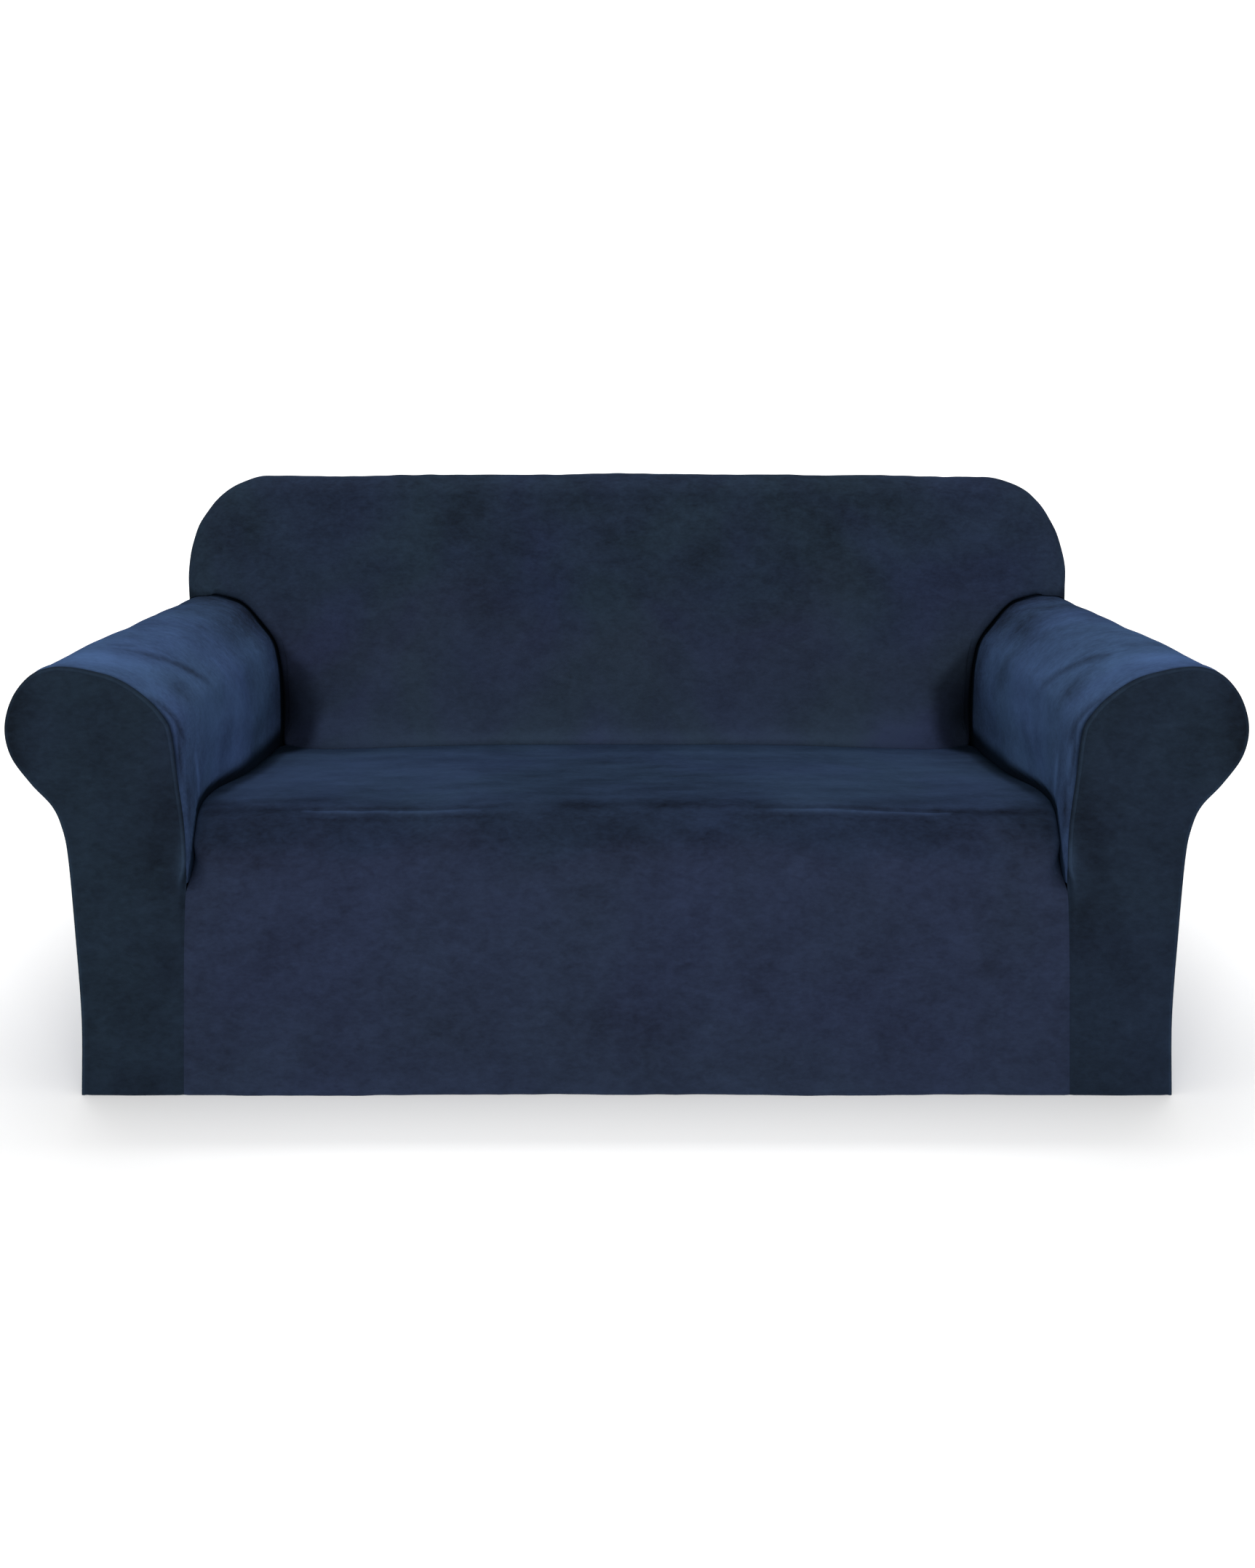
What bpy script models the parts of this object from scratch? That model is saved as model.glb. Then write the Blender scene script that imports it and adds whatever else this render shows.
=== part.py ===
"""Fitted stretch cover for a two-seat sofa with rolled arms, modelled as seven cut panels of cloth.

Metres, +Z up. The cover stands on its hems at z = 0, its front faces -Y and its width runs along X.
Each panel is a thin closed shell: the outer surface is the outside of the cloth, and the inner one lies
CLOTH behind it. The panels meet edge to edge at mitred seams, or side by side where they are tucked into
a crease.
"""

import math

import bpy
import numpy as np

# Driving sizes -----------------------------------------------------------------------------------
CLOTH = 0.003  # thickness of the cloth
SEAM_GAP = 0.0003  # clear space between two panels at a seam
TUCK_GAP = 0.0012  # clear space between two panels pushed into one crease
DEPTH = 0.880  # front of the arms to the rear panel
Y_FRONT = -DEPTH / 2
FOOT_GAP = TUCK_GAP * 1.5  # the same beside the curved rolls
MITRE_SHIFT = SEAM_GAP * 1.5  # moves a 45 degree seam apart by a little over SEAM_GAP

SHARP_EDGE = 50.0  # degrees: an edge folded further than this is shaded as sharp

SEAT_SEAM_Z = 0.300  # the arm fronts meet the skirt below this height, and the arms' inner walls above it
SKIRT_HALF = 0.640  # half the width of the skirt
TUCK_DEPTH = 0.034  # how far a tucked edge runs on into its crease
TUCK_BOTTOM = 0.302  # lowest point of the cloth pushed down at the back of the seat
CREASE_EDGE = 0.012  # radius at which the face and the seat turn into a crease
CREASE_RUN = 0.010  # length of the first stretch of cloth inside the crease

FACE_DEPTH = 0.590  # from the front to the back's face, where it meets the seat
FACE_HEIGHT = 0.345  # height of that meeting line at the middle
FACE_LEAN = 0.224  # the face moves back by this share of each rise
FACE_CROWN = 0.007  # the face stands forward by this at its middle
CROWN_RISE = 0.460  # height over which the face stands forward
CROWN_HALF = 0.900  # half of the width over which it does
CREASE_DROP = 0.009  # the meeting line is this much lower beside the arms
CREASE_DROP_FROM = 0.200  # x at which it starts to drop
BACK_EDGE = 0.048  # radius of the edge from the back's face to its top and sides
BACK_TAPER = 0.017  # the top draws in by this towards the rear seam
HOLLOW = 0.028  # depth of the shaded hollows in the face's lower corners
HOLLOW_REACH = 0.075  # how far they run in from the arms
HOLLOW_DEEPEST_X = 0.658  # they are deepest from here outwards
HOLLOW_BOTTOM = 0.365  # up to this height they have their full depth
HOLLOW_TOP = 0.475  # where they fade out

ARM_SWELL = 0.0025  # the rolls stand out by this halfway back
ARM_SINK = 0.0035  # and draw in by this at the back
WALL_BOW = 0.022  # the inner walls bow out by this near the front
WALL_BOW_LENGTH = 0.38  # length of that bow, from the front
ARM_STRAIGHT = 0.60  # from this depth on, the section stays the same

# Arm section at the front: x and z of its outside, from the seat seam over the roll to the floor.
# rear: how much further out that point stands at the back. bow: its share of WALL_BOW.
ARM_SECTION = (
    # x, z, rear, bow
    (0.6400, SEAT_SEAM_Z, 0.030, 1.0),
    (0.6380, 0.340, 0.030, 1.0),
    (0.6410, 0.393, 0.025, 0.9),
    (0.6505, 0.460, 0.014, 0.4),
    (0.6590, 0.521, 0.018, 0.1),
    (0.6695, 0.544, 0.022, 0.0),
    (0.6890, 0.567, 0.023, 0.0),
    (0.7170, 0.589, 0.016, 0.0),
    (0.7430, 0.603, 0.008, 0.0),
    (0.7700, 0.611, 0.003, 0.0),
    (0.8040, 0.6175, 0.0, 0.0),
    (0.8340, 0.6175, 0.0, 0.0),
    (0.8640, 0.6055, 0.0, 0.0),
    (0.8890, 0.574, 0.0, 0.0),
    (0.9000, 0.531, 0.0, 0.0),
    (0.8910, 0.489, 0.0, 0.0),
    (0.8620, 0.449, 0.0, 0.0),
    (0.8310, 0.416, 0.0, 0.0),
    (0.8165, 0.384, 0.0, 0.0),
    (0.8080, 0.342, 0.0, 0.0),
    (0.7980, 0.237, 0.0, 0.0),
    (0.7885, 0.111, 0.0, 0.0),
    (0.7880, 0.000, 0.0, 0.0),
)
ARM_STEP_ROLL = 0.018  # spacing of the section's points on the roll
ARM_STEP_WALL = 0.034  # and on the walls below it
ROLL_BOTTOM_INNER = 0.500  # height at which the roll begins on the inner side
ROLL_BOTTOM_OUTER = 0.400
ARM_DEPTHS = (0.0, 0.035, 0.075, 0.12, 0.17, 0.22, 0.28, 0.34, 0.41, 0.48, 0.55)
ARM_REAR_STEPS = 3  # cells from the back's edge to the rear seam
LANDING_MARGIN = 0.004  # the inner part of the roll ends at most this far behind the back's edge
LANDING_EASE = 4  # its end reaches that depth over this many points of the section

# Outline of the back seen from the front, from where it lands on an arm to the middle of the top.
BACK_LANDING_X = 0.8680
BACK_SIDE_STEPS = 16  # columns from the landing to where the face runs down behind the seat
BACK_SIDE_FIRST_X = 0.812  # the first of them starts on the roll here
BACK_SIDE_LAST_X = 0.615  # and the last ends on the top here
BACK_TAPER_FULL = 13  # columns over which the taper grows from the landing
FEET_CLOSER = 1.3  # above 1, the columns start closer together on the roll than beside the seat
HEADS_CLOSER = 1.5  # above 1, they end closer together on the top than at the side
BACK_OUTLINE = (
    # x, z
    (0.8700, 0.634),
    (0.8700, 0.664),
    (0.8675, 0.694),
    (0.8605, 0.724),
    (0.8505, 0.752),
    (0.8345, 0.780),
    (0.8105, 0.807),
    (0.7870, 0.8225),
    (0.7550, 0.8355),
    (0.7150, 0.8405),
    (0.5000, 0.8420),
    (0.2500, 0.8435),
    (0.0000, 0.8440),
)

FACE_SHARES = (0.12, 0.26, 0.40, 0.55, 0.70, 0.85, 1.0)  # rows up the face, as shares of its height
EDGE_DEGREES = (22.5, 45.0, 67.5, 90.0)  # rows round the back's edge
BOXING_SHARES = (0.35, 0.7, 1.0)  # rows from that edge to the rear seam

# Section of the skirt and seat, from the hem up and back. crown: how much lower it is beside the arms.
# turn: how far the side edge has turned in beside the arm, from 0, sewn flat, to 1, tucked.
# The rows at a depth of 66 to 87 mm hold the shallow fold along the seat's front edge.
SEAT_SECTION = (
    # depth, z, crown, turn
    (0.000, 0.000, 0.0, 0.0),
    (0.000, 0.100, 0.0, 0.0),
    (0.001, 0.200, 0.0, 0.0),
    (0.004, 0.255, 0.0, 0.0),
    (0.009, 0.289, 0.0, 0.0),
    (0.016, 0.312, 0.0, 0.45),
    (0.025, 0.334, 0.0, 0.8),
    (0.037, 0.353, 0.001, 1.0),
    (0.051, 0.368, 0.002, 1.0),
    (0.066, 0.3795, 0.003, 1.0),
    (0.075, 0.3810, 0.003, 1.0),
    (0.087, 0.3865, 0.004, 1.0),
    (0.120, 0.3885, 0.004, 1.0),
    (0.170, 0.385, 0.004, 1.0),
    (0.220, 0.380, 0.004, 1.0),
    (0.280, 0.373, 0.004, 1.0),
    (0.340, 0.3665, 0.004, 1.0),
    (0.410, 0.359, 0.005, 1.0),
    (0.480, 0.352, 0.006, 1.0),
    (0.535, 0.348, 0.008, 1.0),
)
SEAT_CROWN = (0.25, 0.62)  # x between which the crown falls away
SEAT_COLUMNS = (0.0, 0.15, 0.3, 0.44, 0.57, 0.69, 0.79, 0.87, 0.94, 1.0)  # shares of the half width
SEAT_TURN = (0.006, 0.0125, 0.019, 0.032, 0.045)  # length of cloth past the last column
SEAT_AIM_FRONT = (0.165, 0.265)  # depth and z that the tucked side edges point at, near the front
SEAT_AIM_BACK = (0.490, 0.250)  # and near the back
SEAT_REAR_DEGREES = (0.0, 30.0, 60.0, 90.0)  # rows where the seat turns down into the rear crease

# Colour of each panel, as its nap catches the light.
COLOURS = {
    "arm": (0.034, 0.065, 0.141),
    "arm_front": (0.013, 0.021, 0.034),
    "seat_skirt": (0.021, 0.031, 0.060),
    "inside_back": (0.016, 0.025, 0.043),
    "outside_back": (0.016, 0.025, 0.043),
}
VELVET_ROUGHNESS = 0.9


# Curves and small tools ---------------------------------------------------------------------------
def smooth(value, low, high):
    """0 below low, 1 above high, and a soft step between."""
    t = min(max((value - low) / (high - low), 0.0), 1.0)
    return t * t * (3 - 2 * t)


def curve_through(knots, per_span=24):
    """A dense Catmull-Rom curve through rows of numbers."""
    rows = np.array(knots, float)
    rows = np.vstack([2 * rows[0] - rows[1], rows, 2 * rows[-1] - rows[-2]])
    points = []
    for a, b, c, d in zip(rows, rows[1:], rows[2:], rows[3:]):
        for t in np.arange(per_span) / per_span:
            points.append(
                0.5
                * (
                    2 * b
                    + (c - a) * t
                    + (2 * a - 5 * b + 4 * c - d) * t**2
                    + (3 * b - a - 3 * c + d) * t**3
                )
            )
    return np.array(points + [rows[-2]])


def lengths_along(curve):
    """Distance along a dense curve at each of its points, measured in its first two columns."""
    steps = np.linalg.norm(np.diff(curve[:, :2], axis=0), axis=1)
    return np.concatenate([[0.0], np.cumsum(steps)])


def at_lengths(curve, lengths):
    """The curve's rows at the given distances along it."""
    along = lengths_along(curve)
    return np.stack([np.interp(lengths, along, column) for column in curve.T], axis=1)


def mitres(outline):
    """For each point of an open outline in x and z, the inward offset of a cloth one unit thick.

    The outline runs up the inner side, so its outside lies to the left of its direction.
    """
    steps = np.diff(outline[:, :2], axis=0)
    normals = np.stack([-steps[:, 1], steps[:, 0]], axis=1)
    normals /= np.linalg.norm(normals, axis=1)[:, None]
    before = np.vstack([normals[:1], normals])
    after = np.vstack([normals, normals[-1:]])
    return -(before + after) / (1 + (before * after).sum(axis=1))[:, None]


def vertex_normals(grid):
    """Unit normals of a grid of points, pointing to the side from which i x j turns left."""
    along_i = np.gradient(grid, axis=0)
    along_j = np.gradient(grid, axis=1)
    normals = np.cross(along_i, along_j)
    return normals / np.linalg.norm(normals, axis=2)[:, :, None]


# Meshes -------------------------------------------------------------------------------------------
def velvet(name, colour):
    material = bpy.data.materials.new(name + "_velvet")
    material.use_nodes = True
    shader = material.node_tree.nodes["Principled BSDF"]
    shader.inputs["Base Color"].default_value = (*colour, 1.0)
    shader.inputs["Roughness"].default_value = VELVET_ROUGHNESS
    shader.inputs["Metallic"].default_value = 0.0
    material.diffuse_color = (*colour, 1.0)
    return material


def add_panel(name, points, faces, colour):
    """Makes one object of a closed mesh, its faces turned outwards."""
    mesh = bpy.data.meshes.new(name)
    mesh.from_pydata([tuple(point) for point in points], [], faces)
    corners = np.array(points, float)
    volume = 0.0
    for face in faces:
        for second, third in zip(face[1:], face[2:]):
            volume += np.dot(corners[face[0]], np.cross(corners[second], corners[third]))
    if volume < 0:
        mesh.flip_normals()
    mesh.materials.append(velvet(name, colour))
    panel = bpy.data.objects.new(name, mesh)
    bpy.context.scene.collection.objects.link(panel)
    mesh.shade_smooth()
    mesh.set_sharp_from_angle(angle=math.radians(SHARP_EDGE))
    return panel


def shell_faces(used):
    """Faces of a closed shell over the grid cells marked in used, and the point number of each corner.

    Outer point (i, j) has number 2 * (i * columns + j), and the inner one comes right after it.
    """
    rows, columns = used.shape[0] + 1, used.shape[1] + 1

    def number(i, j, inner=0):
        return 2 * (i * columns + j) + inner

    faces = []
    edges = set()
    for i in range(rows - 1):
        for j in range(columns - 1):
            if not used[i, j]:
                continue
            loop = ((i, j), (i + 1, j), (i + 1, j + 1), (i, j + 1))
            faces.append(tuple(number(*corner) for corner in loop))
            faces.append(tuple(number(*corner, 1) for corner in reversed(loop)))
            edges.update(zip(loop, loop[1:] + loop[:1]))
    for start, end in edges:
        if (end, start) not in edges:
            faces.append((number(*end), number(*start), number(*start, 1), number(*end, 1)))
    return sorted(faces)


def add_shell(name, outer, inner, colour, used=None):
    """A panel from grids of its outer and inner points. used marks the grid cells that it covers."""
    if used is None:
        used = np.ones((outer.shape[0] - 1, outer.shape[1] - 1), bool)
    faces = shell_faces(used)
    points = np.stack([outer, inner], axis=2).reshape(-1, 3)
    wanted = sorted({corner for face in faces for corner in face})
    place = {old: new for new, old in enumerate(wanted)}
    faces = [tuple(place[corner] for corner in face) for face in faces]
    return add_panel(name, points[wanted], faces, colour)


def add_plate(name, outer, inner, colour):
    """A flat panel from the matching outlines of its outer and inner side."""
    count = len(outer)
    front = tuple(range(count))
    back = tuple(range(2 * count - 1, count - 1, -1))
    sides = [(i, i + count, (i + 1) % count + count, (i + 1) % count) for i in range(count)]
    return add_panel(name, np.vstack([outer, inner]), [front, back, *sides], colour)


def mirrored(points):
    return points * np.array([-1.0, 1.0, 1.0])


# Arms ---------------------------------------------------------------------------------------------
def arm_section():
    """Points of the arm's section with their columns, closer together on the roll."""
    curve = curve_through(ARM_SECTION)
    along = lengths_along(curve)
    first_roll = along[np.argmax(curve[:, 1] > ROLL_BOTTOM_INNER)]
    last_roll = along[np.nonzero(curve[:, 1] > ROLL_BOTTOM_OUTER)[0][-1]]
    stretches = (
        (0.0, first_roll, ARM_STEP_WALL),
        (first_roll, last_roll, ARM_STEP_ROLL),
        (last_roll, along[-1], ARM_STEP_WALL),
    )
    places = [0.0]
    for start, end, step in stretches:
        count = max(round((end - start) / step), 1)
        places.extend(start + (end - start) * (n + 1) / count for n in range(count))
    return at_lengths(curve, np.array(places))


SECTION = arm_section()
SECTION_MITRES = mitres(SECTION)


def arm_outline(depth):
    """The arm's section, x and z, at a depth behind the front."""
    back = smooth(depth, 0.0, ARM_STRAIGHT)
    bow = WALL_BOW * math.sin(math.pi * min(depth / WALL_BOW_LENGTH, 1.0)) ** 2
    swell = ARM_SWELL * math.sin(math.pi * min(depth / ARM_STRAIGHT, 1.0)) - ARM_SINK * back
    swell_share = np.array([smooth(z, 0.0, ROLL_BOTTOM_INNER) for z in SECTION[:, 1]])
    outline = SECTION[:, :2].copy()
    outline[:, 0] += SECTION[:, 2] * back + SECTION[:, 3] * bow
    outline -= SECTION_MITRES * (swell * swell_share)[:, None] * (1 - SECTION[:, 3:4])
    return outline


def landing_index():
    """The section point on the outer side of the roll where the back's side comes down."""
    outer = np.argmax(SECTION[:, 0])
    return int(np.argmin(np.abs(SECTION[:outer, 0] - BACK_LANDING_X)))


LANDING = landing_index()


def face_depth(x, z):
    """Depth of the back's face behind the front of the arms."""
    x = abs(x)
    rise = min(max((z - FACE_HEIGHT) / CROWN_RISE, 0.0), 1.0)
    crown = FACE_CROWN * (1 - (x / CROWN_HALF) ** 2) * math.sin(math.pi * rise)
    near_arm = 1 - smooth(HOLLOW_DEEPEST_X - x, 0.0, HOLLOW_REACH)
    hollow = HOLLOW * near_arm * (1 - smooth(z, HOLLOW_BOTTOM, HOLLOW_TOP))
    return FACE_DEPTH + FACE_LEAN * (z - FACE_HEIGHT) - crown + hollow


def arm_tuck_depth(x, z):
    """Where an arm's cloth ends behind the back's face."""
    return face_depth(x, z) + TUCK_DEPTH


def arm_grids():
    """Outer and inner points of the right arm, and the cells that it covers."""
    front = list(ARM_DEPTHS)
    rear_outline = arm_outline(ARM_STRAIGHT)
    landing_depth = face_depth(*rear_outline[LANDING]) + BACK_EDGE + LANDING_MARGIN
    rows = []
    for index in range(len(SECTION)):
        inside = index < LANDING
        x, z = rear_outline[index]
        end = min(arm_tuck_depth(x, z), landing_depth) if inside else landing_depth
        end = landing_depth + (end - landing_depth) * smooth(LANDING - index, 0, LANDING_EASE)
        last = front[-1]
        depths = front + [(last + end) / 2, end]
        depths += [end + (DEPTH - end) * (n + 1) / ARM_REAR_STEPS for n in range(ARM_REAR_STEPS)]
        rows.append(depths)
    depths = np.array(rows)
    outer = np.zeros(depths.shape + (3,))
    for column in range(depths.shape[1]):
        for index in range(depths.shape[0]):
            depth = depths[index, column]
            x, z = arm_outline(depth)[index]
            outer[index, column] = (x, Y_FRONT + depth, z)
    inner = outer - CLOTH * vertex_normals(outer)
    inset = CLOTH * SECTION_MITRES
    for column, sign in ((0, 1), (-1, -1)):
        inner[:, column] = outer[:, column]
        inner[:, column, 0] += inset[:, 0]
        inner[:, column, 2] += inset[:, 1]
        inner[:, column, 1] += sign * CLOTH
        outer[:, column, 1] += sign * MITRE_SHIFT
        inner[:, column, 1] += sign * MITRE_SHIFT
    inner[-1, :, 2] = 0.0
    corner = DEPTH - CLOTH - 2 * MITRE_SHIFT + Y_FRONT
    outer[LANDING, -1, 1] = corner
    inner[LANDING, -1, 1] = corner
    used = np.ones((depths.shape[0] - 1, depths.shape[1] - 1), bool)
    used[:LANDING, len(front) + 1 :] = False
    return outer, inner, used


ARM_OUTER, ARM_INNER, ARM_USED = arm_grids()


def wall_x(y, z):
    """x of the right arm's inner wall as built, at a place beside the seat."""
    wall = ARM_OUTER[: int(np.argmax(ARM_OUTER[:, 0, 2] > ROLL_BOTTOM_INNER))]
    at_y = []
    for row in wall:
        at_y.append((np.interp(y, row[:, 1], row[:, 2]), np.interp(y, row[:, 1], row[:, 0])))
    at_y = np.array(at_y)
    return float(np.interp(z, at_y[:, 0], at_y[:, 1]))


def add_arms():
    for name, turn in (("arm_right", lambda points: points), ("arm_left", mirrored)):
        add_shell(name, turn(ARM_OUTER), turn(ARM_INNER), COLOURS["arm"], ARM_USED)


def add_arm_fronts():
    """Flat scroll-shaped panels, mitred to the arms and sewn edge to edge to the skirt."""
    outline = np.vstack([[SKIRT_HALF, 0.0], SECTION[:, :2]])
    inset = CLOTH * np.vstack([[-1.0, 0.0], SECTION_MITRES])
    inset[0] = (CLOTH, 0.0)
    inset[1] = (CLOTH, 0.0)
    inset[-1, 1] = 0.0
    outer = np.array([(x + SEAM_GAP / 2 * (n < 2), Y_FRONT, z) for n, (x, z) in enumerate(outline)])
    inner = outer + np.array([(x, CLOTH, z) for x, z in inset])
    for name, turn in (("arm_front_right", lambda points: points), ("arm_front_left", mirrored)):
        add_plate(name, turn(outer), turn(inner), COLOURS["arm_front"])


# Back ---------------------------------------------------------------------------------------------
def back_outline():
    """Points of the back's outline, from the landing on the right arm to the middle of the top."""
    x, z = arm_outline(DEPTH)[LANDING]
    curve = curve_through(((x, z + SEAM_GAP), *BACK_OUTLINE))
    along = lengths_along(curve)
    side_end = along[np.argmax(curve[:, 0] < BACK_SIDE_LAST_X)]
    side = side_end * (1 - (1 - np.linspace(0, 1, BACK_SIDE_STEPS + 1)) ** HEADS_CLOSER)
    top = side_end + (along[-1] - side_end) * (1 - np.array(SEAT_COLUMNS[-2::-1]))
    return at_lengths(curve, np.concatenate([side, top]))


def back_feet():
    """Where the face is tucked beside the arm, from the roll down to the seat: x, z and way out."""
    outline = np.hstack([arm_outline(ARM_STRAIGHT), -SECTION_MITRES])[: LANDING + 1][::-1]
    outline = outline[outline[:, 1] > FACE_HEIGHT]
    along = lengths_along(outline)
    first = np.interp(-BACK_SIDE_FIRST_X, -outline[:, 0], along)
    shares = np.linspace(0, 1, BACK_SIDE_STEPS) ** FEET_CLOSER
    return at_lengths(outline, first + (along[-1] - first) * shares)


def roll_height(x):
    """Height of the roll's upper side at x, where the back's side lands on it."""
    outline = arm_outline(ARM_STRAIGHT)
    first = int(np.argmax(outline[:, 1] > ROLL_BOTTOM_INNER))
    upper = outline[first : int(np.argmax(outline[:, 0])) + 1]
    return float(np.interp(x, upper[:, 0], upper[:, 1]))


def face_column(foot, away, head, turning):
    """Points up the face from its tucked end at foot to the outline's inset at head.

    away is the direction in x and z from the crease into the face. turning is 1 where the cloth turns
    in beside an arm, and 0 where it runs straight down behind the seat.
    """
    angle_end = turning * math.pi / 2
    arc = CREASE_EDGE * math.pi / 2
    places = (arc + TUCK_DEPTH - CREASE_EDGE, arc + CREASE_RUN, arc, arc * 2 / 3, arc / 3, 0.0)
    start = foot + away * CREASE_EDGE
    points = []
    for place in places:
        bent = min(place, arc)
        if turning > 0:
            radius = arc / angle_end
            down = radius * math.sin(bent / radius) + (place - bent) * math.cos(angle_end)
            back = radius * (1 - math.cos(bent / radius)) + (place - bent) * math.sin(angle_end)
        else:
            down, back = place, 0.0
        x, z = start - away * down
        points.append((x, Y_FRONT + face_depth(x, z) + back, z))
    for share in FACE_SHARES:
        x, z = start + (head - start) * share
        points.append((x, Y_FRONT + face_depth(x, z), z))
    return points


def edge_and_boxing(rim, outward, taper):
    """Points from the face's rim round the edge and along the boxing to the rear seam."""
    points = []
    base = rim - outward * BACK_EDGE
    for degrees in EDGE_DEGREES:
        angle = math.radians(degrees)
        x, z = base + outward * BACK_EDGE * math.sin(angle)
        depth = face_depth(*base) + BACK_EDGE * (1 - math.cos(angle))
        points.append((x, Y_FRONT + depth, z))
    start = points[-1][1]
    for share in BOXING_SHARES:
        x, z = rim - outward * BACK_TAPER * taper * share**2
        points.append((x, start + (DEPTH / 2 - start) * share, z))
    return points


def back_half():
    """Columns of the inside back's right half, from the landing to the middle."""
    feet = back_feet()
    rims = back_outline()
    outwards = -mitres(rims[::-1])[::-1]
    outwards[0] = (1.0, 0.0)
    outwards[-1] = (0.0, 1.0)
    half = feet[-1, 0] - TUCK_GAP - CREASE_EDGE
    columns = []
    for number, (rim, outward) in enumerate(zip(rims, outwards)):
        if number < BACK_SIDE_STEPS:
            away = feet[number, 2:] / np.linalg.norm(feet[number, 2:])
            foot = feet[number, :2] + away * FOOT_GAP
            turning = 1.0
        else:
            x = half * SEAT_COLUMNS[BACK_SIDE_STEPS - 1 - number]
            drop = CREASE_DROP * smooth(x, CREASE_DROP_FROM, half)
            away = np.array([0.0, 1.0])
            foot = np.array([x, FACE_HEIGHT - drop - CREASE_EDGE])
            turning = 0.5 if number == BACK_SIDE_STEPS else 0.0
        taper = smooth(number, 0, BACK_TAPER_FULL)
        face = face_column(foot, away, rim - outward * BACK_EDGE, turning)
        columns.append(face + edge_and_boxing(rim, outward, taper))
    grid = np.array(columns)
    for point in grid[0]:
        point[2] = roll_height(point[0]) + TUCK_GAP
    return grid


def add_backs():
    half = back_half()
    outer = np.vstack([half, mirrored(half[-2::-1])])
    normals = vertex_normals(outer)
    inner = outer + CLOTH * normals
    rims = half[:, -1]
    inset = CLOTH * mitres(rims[::-1, [0, 2]])[::-1]
    inset[0] = (-CLOTH, roll_height(rims[0, 0] - CLOTH) - roll_height(rims[0, 0]))
    inset[-1] = (0.0, -CLOTH)
    for number, (x, z) in enumerate(inset):
        for column, sign in ((number, 1), (len(outer) - 1 - number, -1)):
            inner[column, -1] = outer[column, -1] + (sign * x, -CLOTH, z)
    outer[:, -1, 1] -= MITRE_SHIFT
    inner[:, -1, 1] -= MITRE_SHIFT
    for column, sign in ((0, 1), (-1, -1)):
        for number, point in enumerate(inner[column]):
            point[2] = max(roll_height(abs(point[0])) + TUCK_GAP, outer[column, number, 2])
    add_shell("inside_back", outer, inner, COLOURS["inside_back"])

    arm = ARM_OUTER[LANDING:, -1][::-1]
    arm_inset = CLOTH * SECTION_MITRES[LANDING:][::-1]
    arm_inset[0, 1] = 0.0
    side = np.vstack([arm[:, [0, 2]], rims[:, [0, 2]]])
    side_inset = np.vstack([arm_inset, inset])
    right = np.array([(x, DEPTH / 2, z) for x, z in side])
    right_inner = right + np.array([(x, -CLOTH, z) for x, z in side_inset])
    outline = np.vstack([right, mirrored(right[-2::-1])])
    outline_inner = np.vstack([right_inner, mirrored(right_inner[-2::-1])])
    add_plate("outside_back", outline, outline_inner, COLOURS["outside_back"])


# Seat and skirt -----------------------------------------------------------------------------------
def seat_section(x):
    """Depth, z and turn of the skirt and seat at x, down to the bottom of the rear tuck."""
    side = smooth(x, *SEAT_CROWN)
    rows = [(depth, z - crown * side, turn) for depth, z, crown, turn in SEAT_SECTION]
    last_depth, last_z, _ = rows[-1]
    crease_z = FACE_HEIGHT - CREASE_DROP * smooth(x, CREASE_DROP_FROM, SKIRT_HALF)
    edge_depth = face_depth(x, crease_z - CREASE_EDGE) - TUCK_GAP - CREASE_EDGE
    rows.append(((last_depth + edge_depth) / 2, (last_z + crease_z) / 2, 1.0))
    for degrees in SEAT_REAR_DEGREES:
        angle = math.radians(degrees)
        z = crease_z - CREASE_EDGE * (1 - math.cos(angle))
        rows.append((edge_depth + CREASE_EDGE * math.sin(angle), z, 1.0))
    for z in (crease_z - CREASE_EDGE - CREASE_RUN, TUCK_BOTTOM):
        rows.append((face_depth(x, z) - TUCK_GAP, z, 1.0))
    return rows


def tuck_direction(depth, z):
    """Direction in depth and z in which the tucked side edge of the seat runs on."""
    if depth < SEAT_AIM_FRONT[0]:
        aim = SEAT_AIM_FRONT
    elif depth > SEAT_AIM_BACK[0]:
        aim = SEAT_AIM_BACK
    else:
        aim = (depth, 0.0)
    direction = np.array([aim[0] - depth, aim[1] - z])
    return direction / np.linalg.norm(direction)


def turned_edge(place, turn):
    """How far out and how far in the cloth has gone, at a length past the last column."""
    if turn == 0:
        return place, 0.0
    angle = turn * math.pi / 2
    radius = CREASE_EDGE * math.pi / 2 / angle
    bent = min(place, radius * angle)
    out = radius * math.sin(bent / radius) + (place - bent) * math.cos(angle)
    inward = radius * (1 - math.cos(bent / radius)) + (place - bent) * math.sin(angle)
    return out, inward


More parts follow.
